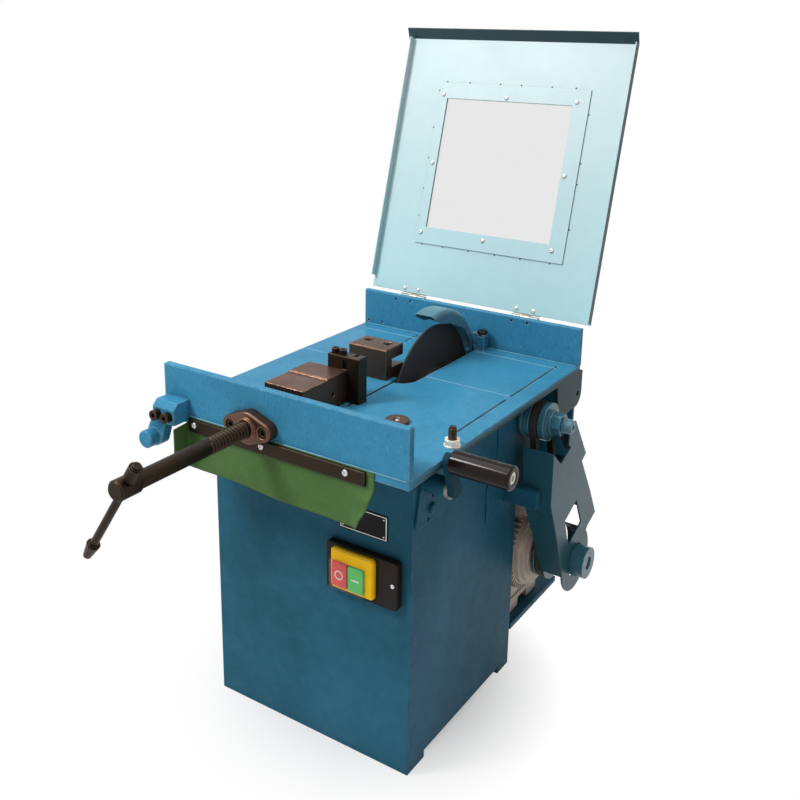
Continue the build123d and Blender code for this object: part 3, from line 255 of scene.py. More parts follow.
def make_groups():
    """The shared effects: worn edges, patchy tone, orange peel, brushing and painted corner shade."""
    tree, given, out = group("Worn edges", ("Radius", "Amount", "Scale"), ("Mask", "Normal"))
    soft = node(tree, "ShaderNodeBevel", set_samples=6, Radius=given["Radius"])[0]
    flat = node(tree, "ShaderNodeNewGeometry")["True Normal"]
    together = vectors(tree, "DOT_PRODUCT", soft, flat)["Value"]
    edge = spread(tree, maths(tree, "SUBTRACT", 1.0, together), 0.03, 0.22)
    broken = spread(tree, noise(tree, given["Scale"], detail=5.0, rough=0.65), 0.34, 0.56)
    fill(tree, out, Mask=times(tree, times(tree, edge, broken), given["Amount"], True), Normal=soft)

    tree, given, out = group("Patchy tone", ("Colour", "Shade", "Scale"), ("Colour", "Mask"))
    broad = noise(tree, given["Scale"], detail=4.0, rough=0.55)
    fine = noise(tree, times(tree, given["Scale"], 14.0), detail=3.0, rough=0.6)
    both = maths(tree, "ADD", times(tree, broad, 0.75), times(tree, fine, 0.25))
    mask = spread(tree, both, 0.36, 0.66)
    fill(tree, out, Colour=mix(tree, mask, given["Shade"], given["Colour"]), Mask=mask)

    tree, given, out = group("Orange peel", ("Scale", "Pits"), ("Height",))
    ripple = noise(tree, given["Scale"], detail=2.0, rough=0.45)
    dents = noise(tree, times(tree, given["Scale"], 0.33), detail=4.0, rough=0.7)
    pits = maths(tree, "SUBTRACT", spread(tree, dents, 0.30, 0.44), 1.0)
    fill(tree, out, Height=maths(tree, "ADD", ripple, times(tree, pits, given["Pits"])))

    tree, given, out = group("Brushed", ("Along",), ("Height",))
    pulled = vectors(tree, "MULTIPLY", place(tree), given["Along"])["Vector"]
    fill(tree, out, Height=noise(tree, 1.0, detail=4.0, rough=0.6, where=pulled))

    # Painted shade: the corners and hollows that ambient occlusion finds are darkened, in patches.
    tree, given, out = group("Corner shade", ("Reach", "Amount", "Scale"), ("Mask",))
    hollow = node(tree, "ShaderNodeAmbientOcclusion", set_samples=6, Distance=given["Reach"])["AO"]
    deep = spread(tree, hollow, 0.75, 0.25)
    patchy = spread(tree, noise(tree, given["Scale"], detail=4.0, rough=0.6), 0.30, 0.62, 0.35, 1.0)
    fill(tree, out, Mask=times(tree, times(tree, deep, patchy), given["Amount"], True))


def seen_directly(tree):
    """1 for rays that show the background to the camera, straight, mirrored or through glass."""
    path = node(tree, "ShaderNodeLightPath")
    first = maths(tree, "MAXIMUM", path["Is Camera Ray"], path["Is Transmission Ray"])
    return maths(tree, "MAXIMUM", first, path["Is Glossy Ray"])


# Finishes

def dimmed(value, share=1.0):
    """A colour, darker or lighter, as four numbers."""
    return (min(value[0] * share, 1), min(value[1] * share, 1), min(value[2] * share, 1), 1.0)


def start(name):
    """The node tree of a new material and its Principled shader."""
    made = bpy.data.materials.new(name)
    made.use_nodes = True
    return made.node_tree, made.node_tree.nodes["Principled BSDF"]


class Coat:
    """A finish under way: its node tree, its shader and the colour laid so far."""

    def __init__(self, name, base, shade, scale):
        self.tree, self.shader = start(name)
        tone = use(self.tree, "Patchy tone", Colour=dimmed(base), Shade=shade, Scale=scale)
        self.colour = tone["Colour"]
        self.patches = tone["Mask"]
        self.edges = {}

    def lay(self, mask, over):
        """Lays a colour over the others where a mask is."""
        self.colour = mix(self.tree, mask, self.colour, over)

    def wear(self, over, radius, amount, scale):
        """Rubs the edges to a colour and rounds them for the light."""
        worn = use(self.tree, "Worn edges", Radius=radius, Amount=amount, Scale=scale)
        self.lay(worn["Mask"], over)
        self.edges = {"Normal": worn["Normal"]}

    def shade_corners(self, over, reach, amount, scale):
        """Lays painted shade in the corners and hollows that ambient occlusion finds, and returns its mask.
        """
        corner_shade = use(self.tree, "Corner shade", Reach=reach, Amount=amount, Scale=scale)["Mask"]
        self.lay(corner_shade, over)
        return corner_shade

    def peel(self, scale, pits):
        """The height of an orange-peel skin."""
        return use(self.tree, "Orange peel", Scale=scale, Pits=pits)["Height"]

    def strokes(self, along):
        """The height of brush strokes."""
        return use(self.tree, "Brushed", Along=along)["Height"]

    def gloss(self, low, high):
        """A roughness that follows the patches of the tone."""
        return spread(self.tree, self.patches, 0.0, 1.0, high, low)

    def finish(self, rough, height, strength, depth, **values):
        """Joins the colour, the roughness, the relief and the shader's own values."""
        relief = node(
            self.tree, "ShaderNodeBump", Strength=strength, Distance=depth, Height=height, **self.edges,
        )
        fill(self.tree, self.shader, Base_Color=self.colour, Roughness=rough, Normal=relief[0], **values)


def shade_below_table_right(tree):
    """Mask of painted shade on the table's right side and below its right edge, towards the belt drive,
    where these faces stand in shadow.
    """
    at = split(tree, place(tree))
    facing = split(tree, place(tree, "Normal"))
    beside = spread(tree, at["X"], 0.150, 0.165)
    below_edge = spread(tree, at["Z"], 0.4240, 0.4185)
    above_foot = spread(tree, at["Z"], 0.356, 0.362)
    behind_front = spread(tree, at["Y"], -0.20, -0.15)
    not_rear = spread(tree, facing["Y"], 0.5, 0.2)
    height = times(tree, below_edge, above_foot)
    depth = times(tree, behind_front, not_rear)
    return times(tree, beside, times(tree, height, depth))


def enamel(
    name, base, shade, scale, rough=(0.22, 0.38), peel=240.0, depth=0.0005, wear=0.8, corner_shade_amount=0.55, index=1.18,
    reach=0.0015, specks=0.0, edge=None, side_shade=None,
):
    """Brushed-on gloss enamel: patchy tone, orange peel, chipped edges rubbed lighter as wear and a painted
    highlight, and painted shade in the corners; optionally brush marks with painted glints, and painted
    shade beside the table's right edge.
    """
    coat = Coat(name, base, dimmed(shade), scale)
    tree = coat.tree
    if specks:
        strokes = coat.strokes((560.0, 560.0, 150.0))
        # Dark brush marks, and lighter specks on the strokes' peaks that are painted glints.
        coat.lay(times(tree, spread(tree, strokes, 0.42, 0.30), specks), dimmed(shade, 0.45))
        coat.lay(times(tree, spread(tree, strokes, 0.62, 0.76), specks), dimmed(base, 1.9))
    # Edges rubbed lighter: wear, and in part a painted highlight along the edges.
    coat.wear(dimmed(edge) if edge else dimmed(base, 2.6), reach, wear, scale=70.0)
    # Painted shade: corners and hollows go towards a dark copy of the shade colour.
    corner_shade = coat.shade_corners(dimmed(shade, 0.35), reach=0.018, amount=corner_shade_amount, scale=45.0)
    # Painted shade beside and below the table's right edge.
    if side_shade:
        coat.lay(shade_below_table_right(tree), dimmed(side_shade))
    rougher_in_corners = maths(tree, "ADD", coat.gloss(*rough), times(tree, corner_shade, 0.25), True)
    coat.finish(rougher_in_corners, coat.peel(peel, pits=0.35), strength=0.50, depth=depth, IOR=index)


def cover_enamel(name, inside, low, outside):
    """Cover paint with painted light: a pale lit copy of the blue on the side that faces the table and on
    the flanges' inner faces, its tint changing from the hinges up, and a dark shaded copy on the outside,
    the edges and the top lip; edges rubbed to the pale colour, painted shade in the corners.
    """
    coat = Coat(name, inside, dimmed(inside, 0.93), scale=4.0)
    tree = coat.tree
    facing = place(tree, "Normal")
    inward = vectors(tree, "DOT_PRODUCT", facing, COVER_FRONT)["Value"]
    sideways = split(tree, vectors(tree, "MULTIPLY", facing, place(tree))["Vector"])["X"]
    flange_inside = spread(tree, sideways, -0.12, -0.16)
    inner_side = maths(tree, "MAXIMUM", spread(tree, inward, 0.90, 0.97), flange_inside)
    climb = spread(tree, split(tree, place(tree))["Z"], 0.49, 0.80)
    shaded = use(tree, "Patchy tone", Colour=dimmed(low), Shade=dimmed(low, 0.90), Scale=4.0)
    dark = use(tree, "Patchy tone", Colour=dimmed(outside), Shade=dimmed(outside, 0.7), Scale=9.0)
    pale = mix(tree, climb, shaded["Colour"], coat.colour)
    coat.colour = mix(tree, inner_side, dark["Colour"], pale)
    coat.wear(dimmed(inside), radius=0.0009, amount=0.4, scale=70.0)
    coat.shade_corners(dimmed(low, 0.35), reach=0.010, amount=0.12, scale=45.0)
    skin = coat.peel(scale=300.0, pits=0.2)
    coat.finish(coat.gloss(0.34, 0.48), skin, strength=0.25, depth=0.0002, Specular_IOR_Level=0.4)


def machined(name, base, rough, along, metallic, edge, wear, spots, reach=0.0008):
    """Machined or plated metal: brushing, worn bright edges, stains and painted shade in the corners."""
    coat = Coat(name, base, dimmed(base, 1.0 - spots), scale=26.0)
    strokes = coat.strokes(along)
    coat.lay(strokes, dimmed(base, 1.25))
    coat.wear(dimmed(base, edge), reach, wear, scale=140.0)
    coat.shade_corners(dimmed(base, 0.25), reach=0.008, amount=0.5, scale=120.0)
    coat.finish(coat.gloss(*rough), strokes, strength=0.20, depth=0.00008, Metallic=metallic)


def cast(name, base):
    """Sand-cast alloy: coarse skin, painted shade in the hollows, rubbed edges."""
    coat = Coat(name, base, dimmed(base, 0.72), scale=30.0)
    coat.wear(dimmed(base, 1.6), radius=0.0010, amount=0.7, scale=120.0)
    coat.shade_corners(dimmed(base, 0.22), reach=0.012, amount=0.75, scale=70.0)
    skin = coat.peel(scale=900.0, pits=0.6)
    coat.finish(coat.gloss(0.47, 0.67), skin, strength=0.55, depth=0.0003, Metallic=0.15)


def moulded(name, base, rough, grain=1400.0, depth=0.00004, shine=0.5):
    """Moulded plastic: fine grain, faint scuffs, rounded edges."""
    coat = Coat(name, base, dimmed(base, 0.82), scale=40.0)
    coat.wear(dimmed(base, 1.7), radius=0.0009, amount=0.35, scale=200.0)
    gloss = coat.gloss(rough, rough + 0.12)
    coat.finish(gloss, coat.peel(grain, pits=0.15), strength=0.30, depth=depth, Specular_IOR_Level=shine)


def abrasive(name, base, edge):
    """Resin-bonded abrasive: coarse grains with a few bright flecks."""
    coat = Coat(name, base, dimmed(base, 0.6), scale=22.0)
    tree = coat.tree
    grains = node(tree, "ShaderNodeTexVoronoi", Vector=place(tree), Scale=950.0)["Distance"]
    flecks = spread(tree, noise(tree, 1500.0, detail=2.0, rough=0.7), 0.63, 0.72)
    coat.lay(times(tree, flecks, 0.5), dimmed(base, 6.0))
    coat.wear(dimmed(edge), radius=0.0009, amount=0.9, scale=260.0)
    coat.edges = {}
    coat.finish(spread(tree, grains, 0, 0.6, 0.95, 0.7), grains, strength=0.55, depth=0.00025)


def rubber(name, base):
    """Worn rubber with cord marks."""
    coat = Coat(name, base, dimmed(base, 0.55), scale=34.0)
    coat.wear(dimmed(base, 3.0), radius=0.0008, amount=0.9, scale=160.0)
    cords = coat.strokes((2600.0, 120.0, 120.0))
    coat.finish(coat.gloss(0.62, 0.85), cords, strength=0.5, depth=0.0002)


def coated_cloth(name, base):
    """Rubber-coated cloth: fine weave under the coat, handling marks and creases."""
    coat = Coat(name, base, dimmed(base, 0.72), scale=16.0)
    tree = coat.tree
    across, down = [
        node(tree, "ShaderNodeTexWave", set_bands_direction=way, Vector=place(tree), Scale=420.0)["Fac"]
        for way in "XZ"
    ]
    stretched = vectors(tree, "MULTIPLY", place(tree), (6, 6, 24))["Vector"]
    smears = spread(tree, noise(tree, 3.0, detail=5.0, rough=0.6, where=stretched), 0.58, 0.80, 0.0, 0.35)
    coat.lay(smears, dimmed(base, 0.45))
    weave = times(tree, across, down)
    coat.finish(coat.gloss(0.46, 0.62), weave, strength=0.25, depth=0.0001, Specular_IOR_Level=0.2)


def clear_sheet(name, base):
    """Clear acrylic with faint dust."""
    tree, shader = start(name)
    dust = spread(tree, noise(tree, 30.0, detail=6.0, rough=0.65), 0.35, 0.75, 0.02, 0.08)
    fill(tree, shader, Base_Color=dimmed(base), Roughness=dust, Transmission_Weight=1.0, IOR=1.49)


def clear_film(name, base):
    """Thin clear film: mostly see-through, a little milky where it is scuffed."""
    tree, shader = start(name)
    scuffs = noise(tree, 160.0, detail=5.0, rough=0.65)
    milky = spread(tree, scuffs, 0.35, 0.75, 0.02, 0.055)
    rough = spread(tree, scuffs, 0.3, 0.7, 0.12, 0.3)
    fill(tree, shader, Base_Color=dimmed(base), Alpha=milky, Roughness=rough)


def make_enamels(shades):
    """The painted finishes, by name."""
    edge = shades.enamel_edge_highlight
    enamel(
        "Blue enamel", shades.enamel, shades.enamel_dark, scale=5.5, peel=380.0, index=1.13, reach=0.0035,
        specks=0.6, edge=edge, side_shade=shades.enamel_side_shade,
    )
    enamel(
        "Hood enamel", shades.hood, dimmed(shades.hood, 0.72), scale=14.0, peel=380.0, reach=0.0022,
        specks=0.3, edge=edge,
    )
    enamel(
        "Pulley enamel", shades.pulley, dimmed(shades.pulley, 0.6), scale=20.0, rough=(0.14, 0.26),
        peel=300.0, depth=0.00015, wear=0.9, corner_shade_amount=0.6, index=1.45, edge=edge,
    )
    # Painted shade: the cabinet and the head get a darker copy of the blue enamel.
    enamel(
        "Cabinet enamel", shades.sheet, shades.sheet_dark, scale=5.0, rough=(0.30, 0.46), peel=200.0,
        depth=0.0004, wear=0.6, corner_shade_amount=0.6, index=1.14,
    )
    # Painted shade: a dark, glossier copy of the blue for the belt guard.
    enamel(
        "Shaded guard enamel", shades.guard, dimmed(shades.guard, 0.75), scale=6.0, rough=(0.20, 0.32), peel=120.0,
        depth=0.00002, wear=0.7, corner_shade_amount=0.5, index=1.28,
    )
    # Painted shade: the lever and the spindle housing get a dark copy of the enamel.
    enamel(
        "Shaded lever enamel", shades.lever, dimmed(shades.lever, 0.7), scale=20.0, rough=(0.26, 0.4), peel=300.0,
        depth=0.0003, corner_shade_amount=0.5, index=1.08,
    )
    enamel(
        "Seam paint", shades.seam, shades.seam_dark, scale=30.0, rough=(0.25, 0.4), peel=500.0, depth=0.0002,
        wear=0.3, corner_shade_amount=0.2,
    )
    # Painted light: lit pale inside and shaded dark outside of the cover.
    cover_enamel("Lit and shaded cover enamel", shades.pale, shades.pale_low, shades.teal)


def make_metals(shades):
    """The metal finishes, by name."""
    machined(
        "Blackened iron", shades.iron, rough=(0.30, 0.48), along=(60.0, 800.0, 60.0), metallic=0.9,
        edge=5.0, wear=1.0, spots=0.4, reach=0.0016,
    )
    machined(
        "Black oxide", shades.oxide, rough=(0.34, 0.52), along=(500.0, 40.0, 500.0), metallic=0.9,
        edge=6.0, wear=0.8, spots=0.4, reach=0.0011,
    )
    machined(
        "Bright steel", shades.bright, rough=(0.24, 0.40), along=(40.0, 900.0, 900.0), metallic=1.0,
        edge=1.5, wear=0.6, spots=0.35,
    )
    machined(
        "Dull steel", dimmed(shades.bright, 0.42), rough=(0.38, 0.55), along=(60.0, 900.0, 900.0),
        metallic=0.9, edge=2.0, wear=0.7, spots=0.4,
    )
    machined(
        "Yellow zinc", shades.zinc, rough=(0.36, 0.50), along=(300.0, 300.0, 300.0), metallic=0.35,
        edge=1.2, wear=0.6, spots=0.3,
    )
    machined(
        "Hinge zinc", shades.hinge, rough=(0.34, 0.50), along=(300.0, 300.0, 300.0), metallic=0.6,
        edge=1.4, wear=0.6, spots=0.4,
    )
    cast("Cast alloy", shades.alloy)


def make_plastics(shades):
    """The clear, rubber, cloth and plastic finishes and the wheel's, by name."""
    clear_sheet("Clear sheet", shades.pane)
    clear_film("Clear film", shades.film)
    abrasive("Abrasive", shades.abrasive, shades.abrasive_edge)
    rubber("Belt rubber", shades.belt)
    coated_cloth("Flap sheet", shades.flap)
    moulded("Fan plastic", shades.fan, rough=0.5)
    moulded("Polished grip", shades.grip, rough=0.07, grain=300.0, depth=0.00001, shine=0.17)
    moulded("Switch black", shades.switch, rough=0.48, grain=1800.0, depth=0.00006, shine=0.15)
    moulded("Bezel yellow", shades.yellow, rough=0.30, shine=0.12)
    moulded("Button red", shades.red, rough=0.28, shine=0.3)
    moulded("Button green", shades.green, rough=0.28, shine=0.3)
    moulded("Mark white", shades.mark, rough=0.35)
    moulded("Plate black", shades.plate, rough=0.36, grain=900.0, depth=0.00002, shine=0.12)


FINISH_OF = {
    "Blue enamel": ("table", "front_plate", "rear_plate", "stop_bracket"),
    "Hood enamel": ("wheel_hood",),
    "Pulley enamel": ("spindle_pulley", "spindle_nuts", "motor_pulley"),
    "Cabinet enamel": (
        "cabinet_front", "cabinet_left", "cabinet_right", "shaft_bracket", "stop_bar", "swing_frame",
        "guard_bracket",
    ),
    "Shaded guard enamel": ("belt_guard",),
    "Shaded lever enamel": ("feed_lever", "spindle_housing"),
    "Lit and shaded cover enamel": ("cover_panel", "window_frame"),
    "Clear sheet": ("window_pane",),
    "Blackened iron": ("fixed_jaw", "jaw_slide", "clamp_nut", "table_plug"),
    "Black oxide": (
        "tommy_bar", "socket_screws", "jaw_plate", "jaw_plate_screws", "flap_strip", "clamp_screw",
        "stop_stud",
    ),
    "Bright steel": (
        "pivot_shaft", "motor_shaft", "wheel_flanges", "feed_link", "window_screws", "pan_screws",
    ),
    "Dull steel": ("spindle_shaft", "spindle_bearings", "hex_bolts", "feed_shaft", "hinge_lower_leaves"),
    "Yellow zinc": ("stop_nut", "grip_bolt"),
    "Hinge zinc": ("hinge_upper_leaves",),
    "Abrasive": ("cutting_wheel",),
    "Belt rubber": ("drive_belt",),
    "Flap sheet": ("splash_flap",),
    "Cast alloy": ("motor_body", "motor_end_shield", "terminal_box", "motor_pads"),
    "Fan plastic": ("fan_cover",),
    "Polished grip": ("feed_grip",),
    "Switch black": ("switch_plate",),
    "Bezel yellow": ("switch_bezel",),
    "Button red": ("stop_button",),
    "Button green": ("start_button",),
    "Plate black": ("nameplate",),
}


# Mesh helpers

def span(name):
    """The low corner, the high corner and the middle of a node's box."""
    low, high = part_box(name)
    return low, high, (low + high) / 2


def piece(name, mesh, body, finish, stands_for=(), smooth=35.0, second=None):
    """Turns a bmesh into a finished object that rides on a body; some faces may have a second finish."""
    bmesh.ops.remove_doubles(mesh, verts=mesh.verts, dist=1e-6)
    bmesh.ops.recalc_face_normals(mesh, faces=mesh.faces)
    data = bpy.data.meshes.new(name)
    mesh.to_mesh(data)
    mesh.free()
    made = bpy.data.objects.new(name, data)
    bpy.context.scene.collection.objects.link(made)
    for title in filter(None, (finish, second)):
        data.materials.append(bpy.data.materials[title])
    data.shade_smooth()
    data.set_sharp_from_angle(angle=math.radians(smooth))
    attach(made, body)
    if stands_for:
        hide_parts(*stands_for)
    return made


def turned(mesh, profile, origin, axis, steps):
    """Spins a few-point profile of (radius, distance) pairs about an axis."""
    origin = Vector(origin)
    side = axis.orthogonal().normalized()
    points = [mesh.verts.new(origin + axis * along + side * radius) for radius, along in profile]
    edges = [mesh.edges.new(pair) for pair in zip(points, points[1:])]
    bmesh.ops.spin(
        mesh, geom=points + edges, cent=origin, axis=axis, angle=math.tau, steps=steps, use_merge=True,
        use_duplicate=False, dvec=(0, 0, 0),
    )
    bmesh.ops.remove_doubles(mesh, verts=mesh.verts, dist=1e-6)


def thread(mesh, origin, axis, core, crest, pitch, turns, steps, bite=0.0001):
    """A screw thread on a core: a ridge's section swept round and along an axis."""
    side = axis.orthogonal().normalized()
    root = core - bite
    section = ((root, -0.46), (crest, -0.14), (crest, 0.14), (root, 0.46))
    points = [mesh.verts.new(origin + side * radius + axis * (along * pitch)) for radius, along in section]
    edges = [mesh.edges.new(pair) for pair in zip(points, points[1:] + points[:1])]
    cap = mesh.faces.new(points)
    bmesh.ops.spin(
        mesh, geom=points + edges + [cap], cent=origin, axis=axis, angle=math.tau * turns,
        steps=int(steps * turns), use_merge=False, use_duplicate=False, dvec=axis * (pitch / steps),
    )


def rounded(mesh, edges, offset, segments=2):
    """Rounds some edges."""
    bmesh.ops.bevel(
        mesh, geom=edges, offset=offset, offset_type="OFFSET", segments=segments, profile=0.5,
        affect="EDGES", material=-1,
    )


def block(mesh, low, high, bevel=0.0, segments=2):
    """A box between two corners, with rounded edges."""
    low = Vector(low)
    high = Vector(high)
    where = Matrix.Translation((low + high) / 2) @ Matrix.Diagonal((*(high - low), 1))
    made = bmesh.ops.create_cube(mesh, size=1.0, matrix=where)
    if bevel > 0:
        edges = {edge for corner in made["verts"] for edge in corner.link_edges}
        rounded(mesh, list(edges), bevel, segments)


def prism(mesh, where, sides, radius, height):
    """An upright prism about its middle; returns its faces."""
    made = bmesh.ops.create_cone(
        mesh, cap_ends=True, segments=sides, radius1=radius, radius2=radius, depth=height, matrix=where,
    )
    return {face for vert in made["verts"] for face in vert.link_faces}


def domed_screw(mesh, centre, outward, radius, height):
    """A pan-head screw with a driver recess."""
    shares = (
        (0.0, 0.55), (0.16, 0.55), (0.30, 1.0), (0.62, 0.96), (0.90, 0.66), (1.0, 0.22), (1.0, 0.0),
        (0.0, 0.0),
    )
    turned(mesh, [(radius * out, height * up) for out, up in shares], centre, outward, steps=20)


# Operators

class BARCUT_OT_finishes(bpy.types.Operator):
    """Give every carried-over piece its finish"""

    bl_idname = "barcut.finishes"
    bl_label = "Finishes"

    def execute(self, context):
        make_groups()
        shades = context.scene.barcut_finish
        make_enamels(shades)
        make_metals(shades)
        make_plastics(shades)
        for finish, names in FINISH_OF.items():
            for name in names:
                data = NODES[name].data
                data.materials.clear()
                data.materials.append(bpy.data.materials[finish])
        return {"FINISHED"}


class BARCUT_OT_vice_screw(bpy.types.Operator):
    """Cut the vice screw's thread and its collared head"""

    bl_idname = "barcut.vice_screw"
    bl_label = "Vice screw"

    thread_start = -0.271
    thread_end = -0.142
    head = 0.0115
    rod = 0.0095
    shoulder = 0.0098
    pin = 0.0080
    root = 0.0086
    crest = 0.0100

    def execute(self, context):
        sizes = context.scene.barcut_sizes
        pitch = sizes.screw_pitch
        low, high, middle = span("clamp_screw")
        foot = Vector((middle.x, low.y, middle.z))
        reach = high.y - low.y
        cut = self.thread_start - low.y
        end = self.thread_end - low.y
        profile = (
            (0.0, 0.0), (self.rod, 0.0), (self.head, 0.0020), (self.head, 0.0265), (0.0108, 0.0280),
            (self.rod, 0.0290), (self.rod, cut - 0.003), (self.root, cut), (self.root, end),
            (self.shoulder, end + 0.002), (self.shoulder, end + 0.0045), (self.pin, end + 0.005),
            (self.pin, reach), (0.0, reach),
        )
        mesh = bmesh.new()
        turned(mesh, profile, foot, TO_REAR, steps=48)
        first = foot + TO_REAR * (cut + 0.3 * pitch)
        turns = (end - cut) / pitch - 0.6
        thread(mesh, first, TO_REAR, self.root, self.crest, pitch, turns, sizes.thread_steps)
        piece("vice_screw_turned", mesh, "vice_screw", "Black oxide", ("clamp_screw",))
        return {"FINISHED"}


class BARCUT_OT_stud(bpy.types.Operator):
    """Cut the thread of the stud on the table"""

    bl_idname = "barcut.stud"
    bl_label = "Stud"

    root = 0.0043
    tip = 0.0034
    crest = 0.0050
    plain = 0.002

    def execute(self, context):
        pitch = context.scene.barcut_sizes.stud_pitch
        low, high, middle = span("stop_stud")
        foot = Vector((middle.x, middle.y, low.z))
        tall = high.z - low.z
        mesh = bmesh.new()
        profile = ((0.0, 0.0), (self.root, 0.0), (self.root, tall - 0.0016), (self.tip, tall), (0.0, tall))
        turned(mesh, profile, foot, UP, steps=32)
        turns = (tall - 2 * self.plain) / pitch
        thread(mesh, foot + UP * self.plain, UP, self.root, self.crest, pitch, turns, steps=20)
        piece("stud_threaded", mesh, "base", "Black oxide", ("stop_stud",))
        return {"FINISHED"}


class BARCUT_OT_splash_flap(bpy.types.Operator):
    """Hang the green splash flap from its strip"""

    bl_idname = "barcut.splash_flap"
    bl_label = "Splash flap"

    columns = 150
    rows = 24
    fold_radius = 0.0015
    fold_droop = 0.08
    slant_right = 0.019
    slant_from = 0.17
    rise_left = 0.0055
    sag = 0.0046
    waves = ((0.0022, 19.0, 0.5), (0.0012, 47.0, 1.0))
    curl_from = 0.112
    curl = 0.42
    curl_wave = (0.22, 260.0)

    def execute(self, context):
        sizes = context.scene.barcut_sizes
        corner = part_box("splash_flap")[1]
        clamped = corner.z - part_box("flap_strip")[0].z
        face = corner.y - 0.0008
        mesh = bmesh.new()
        bmesh.ops.create_grid(mesh, x_segments=self.columns, y_segments=self.rows, size=0.5)
        for vert in mesh.verts:
            fall = 0.5 - vert.co.y
            across, drop = self.cut(vert.co.x + 0.5, fall, sizes, corner.x)
            down = fall * drop
            slack = max(0.0, (down - clamped) / (sizes.flap_drop - clamped))
            vert.co = self.hang(across, corner.z - down, slack, face)
        made = piece("splash_flap_sheet", mesh, "base", "Flap sheet", ("splash_flap",), 180.0)
        solid = made.modifiers.new("Thickness", "SOLIDIFY")
        solid.thickness = sizes.flap_thickness
        solid.offset = 0.0
        return {"FINISHED"}

    def width(self, fall, sizes):
        """Width of the flat cut at a share of its drop: the right edge slants in below."""
        below = max(0.0, (fall - self.slant_from) / (1.0 - self.slant_from))
        return sizes.flap_width - self.slant_right * below ** 1.5

    def cut(self, along, fall, sizes, right):
        """Place across and full drop of the flat cut at shares along its top and down its side."""
        across = right - sizes.flap_width + along * self.width(fall, sizes)
        return across, sizes.flap_drop - self.rise_left * (right - across) / sizes.flap_width

    def cut_area(self, sizes, right):
        """Flat area of the cut."""
        steps = 60
        shares = [(step + 0.5) / steps for step in range(steps)]
        total = 0.0
        for fall in shares:
            drops = sum(self.cut(along, fall, sizes, right)[1] for along in shares)
            total += self.width(fall, sizes) * drops
        return total / steps ** 2

    def hang(self, x, z, slack, face):
        """Where a point of the cut hangs: flat under the strip, slack below, its left end folded."""
        out = max(0.0, FLAP_FOLD - x)
        x = max(x, FLAP_FOLD)
        wave = sum(height * math.sin(x * rate + shift) for height, rate, shift in self.waves)
        y = face - slack ** 1.3 * (self.sag + wave)
        turn = min(out / self.fold_radius, math.radians(90))
        x = x - self.fold_radius * math.sin(turn)
        y = y - self.fold_radius * (1.0 - math.cos(turn)) - max(0.0, out - turn * self.fold_radius)
        x = x + out * slack * self.fold_droop
        z = z - out * self.fold_droop * (1.0 - slack)
        edge = x - self.curl_from
        if edge > 0:
            ripple, rate = self.curl_wave
            y = y - edge * slack * (self.curl + ripple * math.sin(z * rate))
        return Vector((x, y, z))


class BARCUT_OT_flap_hem(bpy.types.Operator):
    """Lay the flap's hem between the strip and the table's front edge"""

    bl_idname = "barcut.flap_hem"
    bl_label = "Flap hem"

    rise = 0.0009

    def execute(self, context):
        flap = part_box("splash_flap")[1]
        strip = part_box("flap_strip")[1]
        mesh = bmesh.new()
        block(mesh, (FLAP_FOLD, strip.y, flap.z), (flap.x, flap.y, strip.z + self.rise), bevel=0.0004)
        piece("flap_hem", mesh, "base", "Flap sheet")
        return {"FINISHED"}


class BARCUT_OT_slot_shutter(bpy.types.Operator):
    """Cut the sheet on the head that closes the two slots of the right panel from outside"""

    bl_idname = "barcut.slot_shutter"
    bl_label = "Slot shutter"

    face_x = 0.1518
    thickness = 0.0015
    hole = 0.0125
    outline = (
        (0.044, 0.2595), (0.171, 0.2595), (0.171, 0.4045), (0.070, 0.4045), (0.070, 0.330), (0.044, 0.312),
    )

    def execute(self, context):
        middle = span("spindle_shaft")[2]
        mesh = bmesh.new()
        corners = [mesh.verts.new((self.face_x, y, z)) for y, z in self.outline]
        for pair in zip(corners, corners[1:] + corners[:1]):
            mesh.edges.new(pair)
        where = Matrix.Translation((self.face_x, middle.y, middle.z)) @ ONTO_RIGHT
        bmesh.ops.create_circle(mesh, cap_ends=False, radius=self.hole, segments=32, matrix=where)
        bmesh.ops.triangle_fill(mesh, use_beauty=True, use_dissolve=False, edges=mesh.edges)
        bmesh.ops.recalc_face_normals(mesh, faces=mesh.faces)
        bmesh.ops.solidify(mesh, geom=mesh.faces[:], thickness=self.thickness)
        piece("slot_shutter", mesh, "swing_head", "Cabinet enamel")
        return {"FINISHED"}


class BARCUT_OT_spindle_collar(bpy.types.Operator):
    """Turn the collar between the slot shutter and the spindle's pulley"""

    bl_idname = "barcut.spindle_collar"
    bl_label = "Spindle collar"

    gap = 0.0025
    bore = 0.0101

    def execute(self, context):
        low, high, middle = span("spindle_pulley")
        origin = Vector((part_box("cabinet_right")[1].x + self.gap, middle.y, middle.z))
        wide = low.x - origin.x
        rim = (high.z - low.z) / 2
        neck = rim - 0.003
        profile = (
            (self.bore, 0.0), (rim - 0.002, 0.0), (rim - 0.0005, 0.0008), (rim, 0.002), (rim, wide - 0.0022),
            (rim - 0.0008, wide - 0.0012), (neck, wide - 0.0008), (neck, wide), (self.bore, wide),
            (self.bore, 0.0),
        )
        mesh = bmesh.new()
        turned(mesh, profile, origin, TO_RIGHT, steps=56)
        piece("spindle_collar", mesh, "spindle", "Pulley enamel")
        return {"FINISHED"}


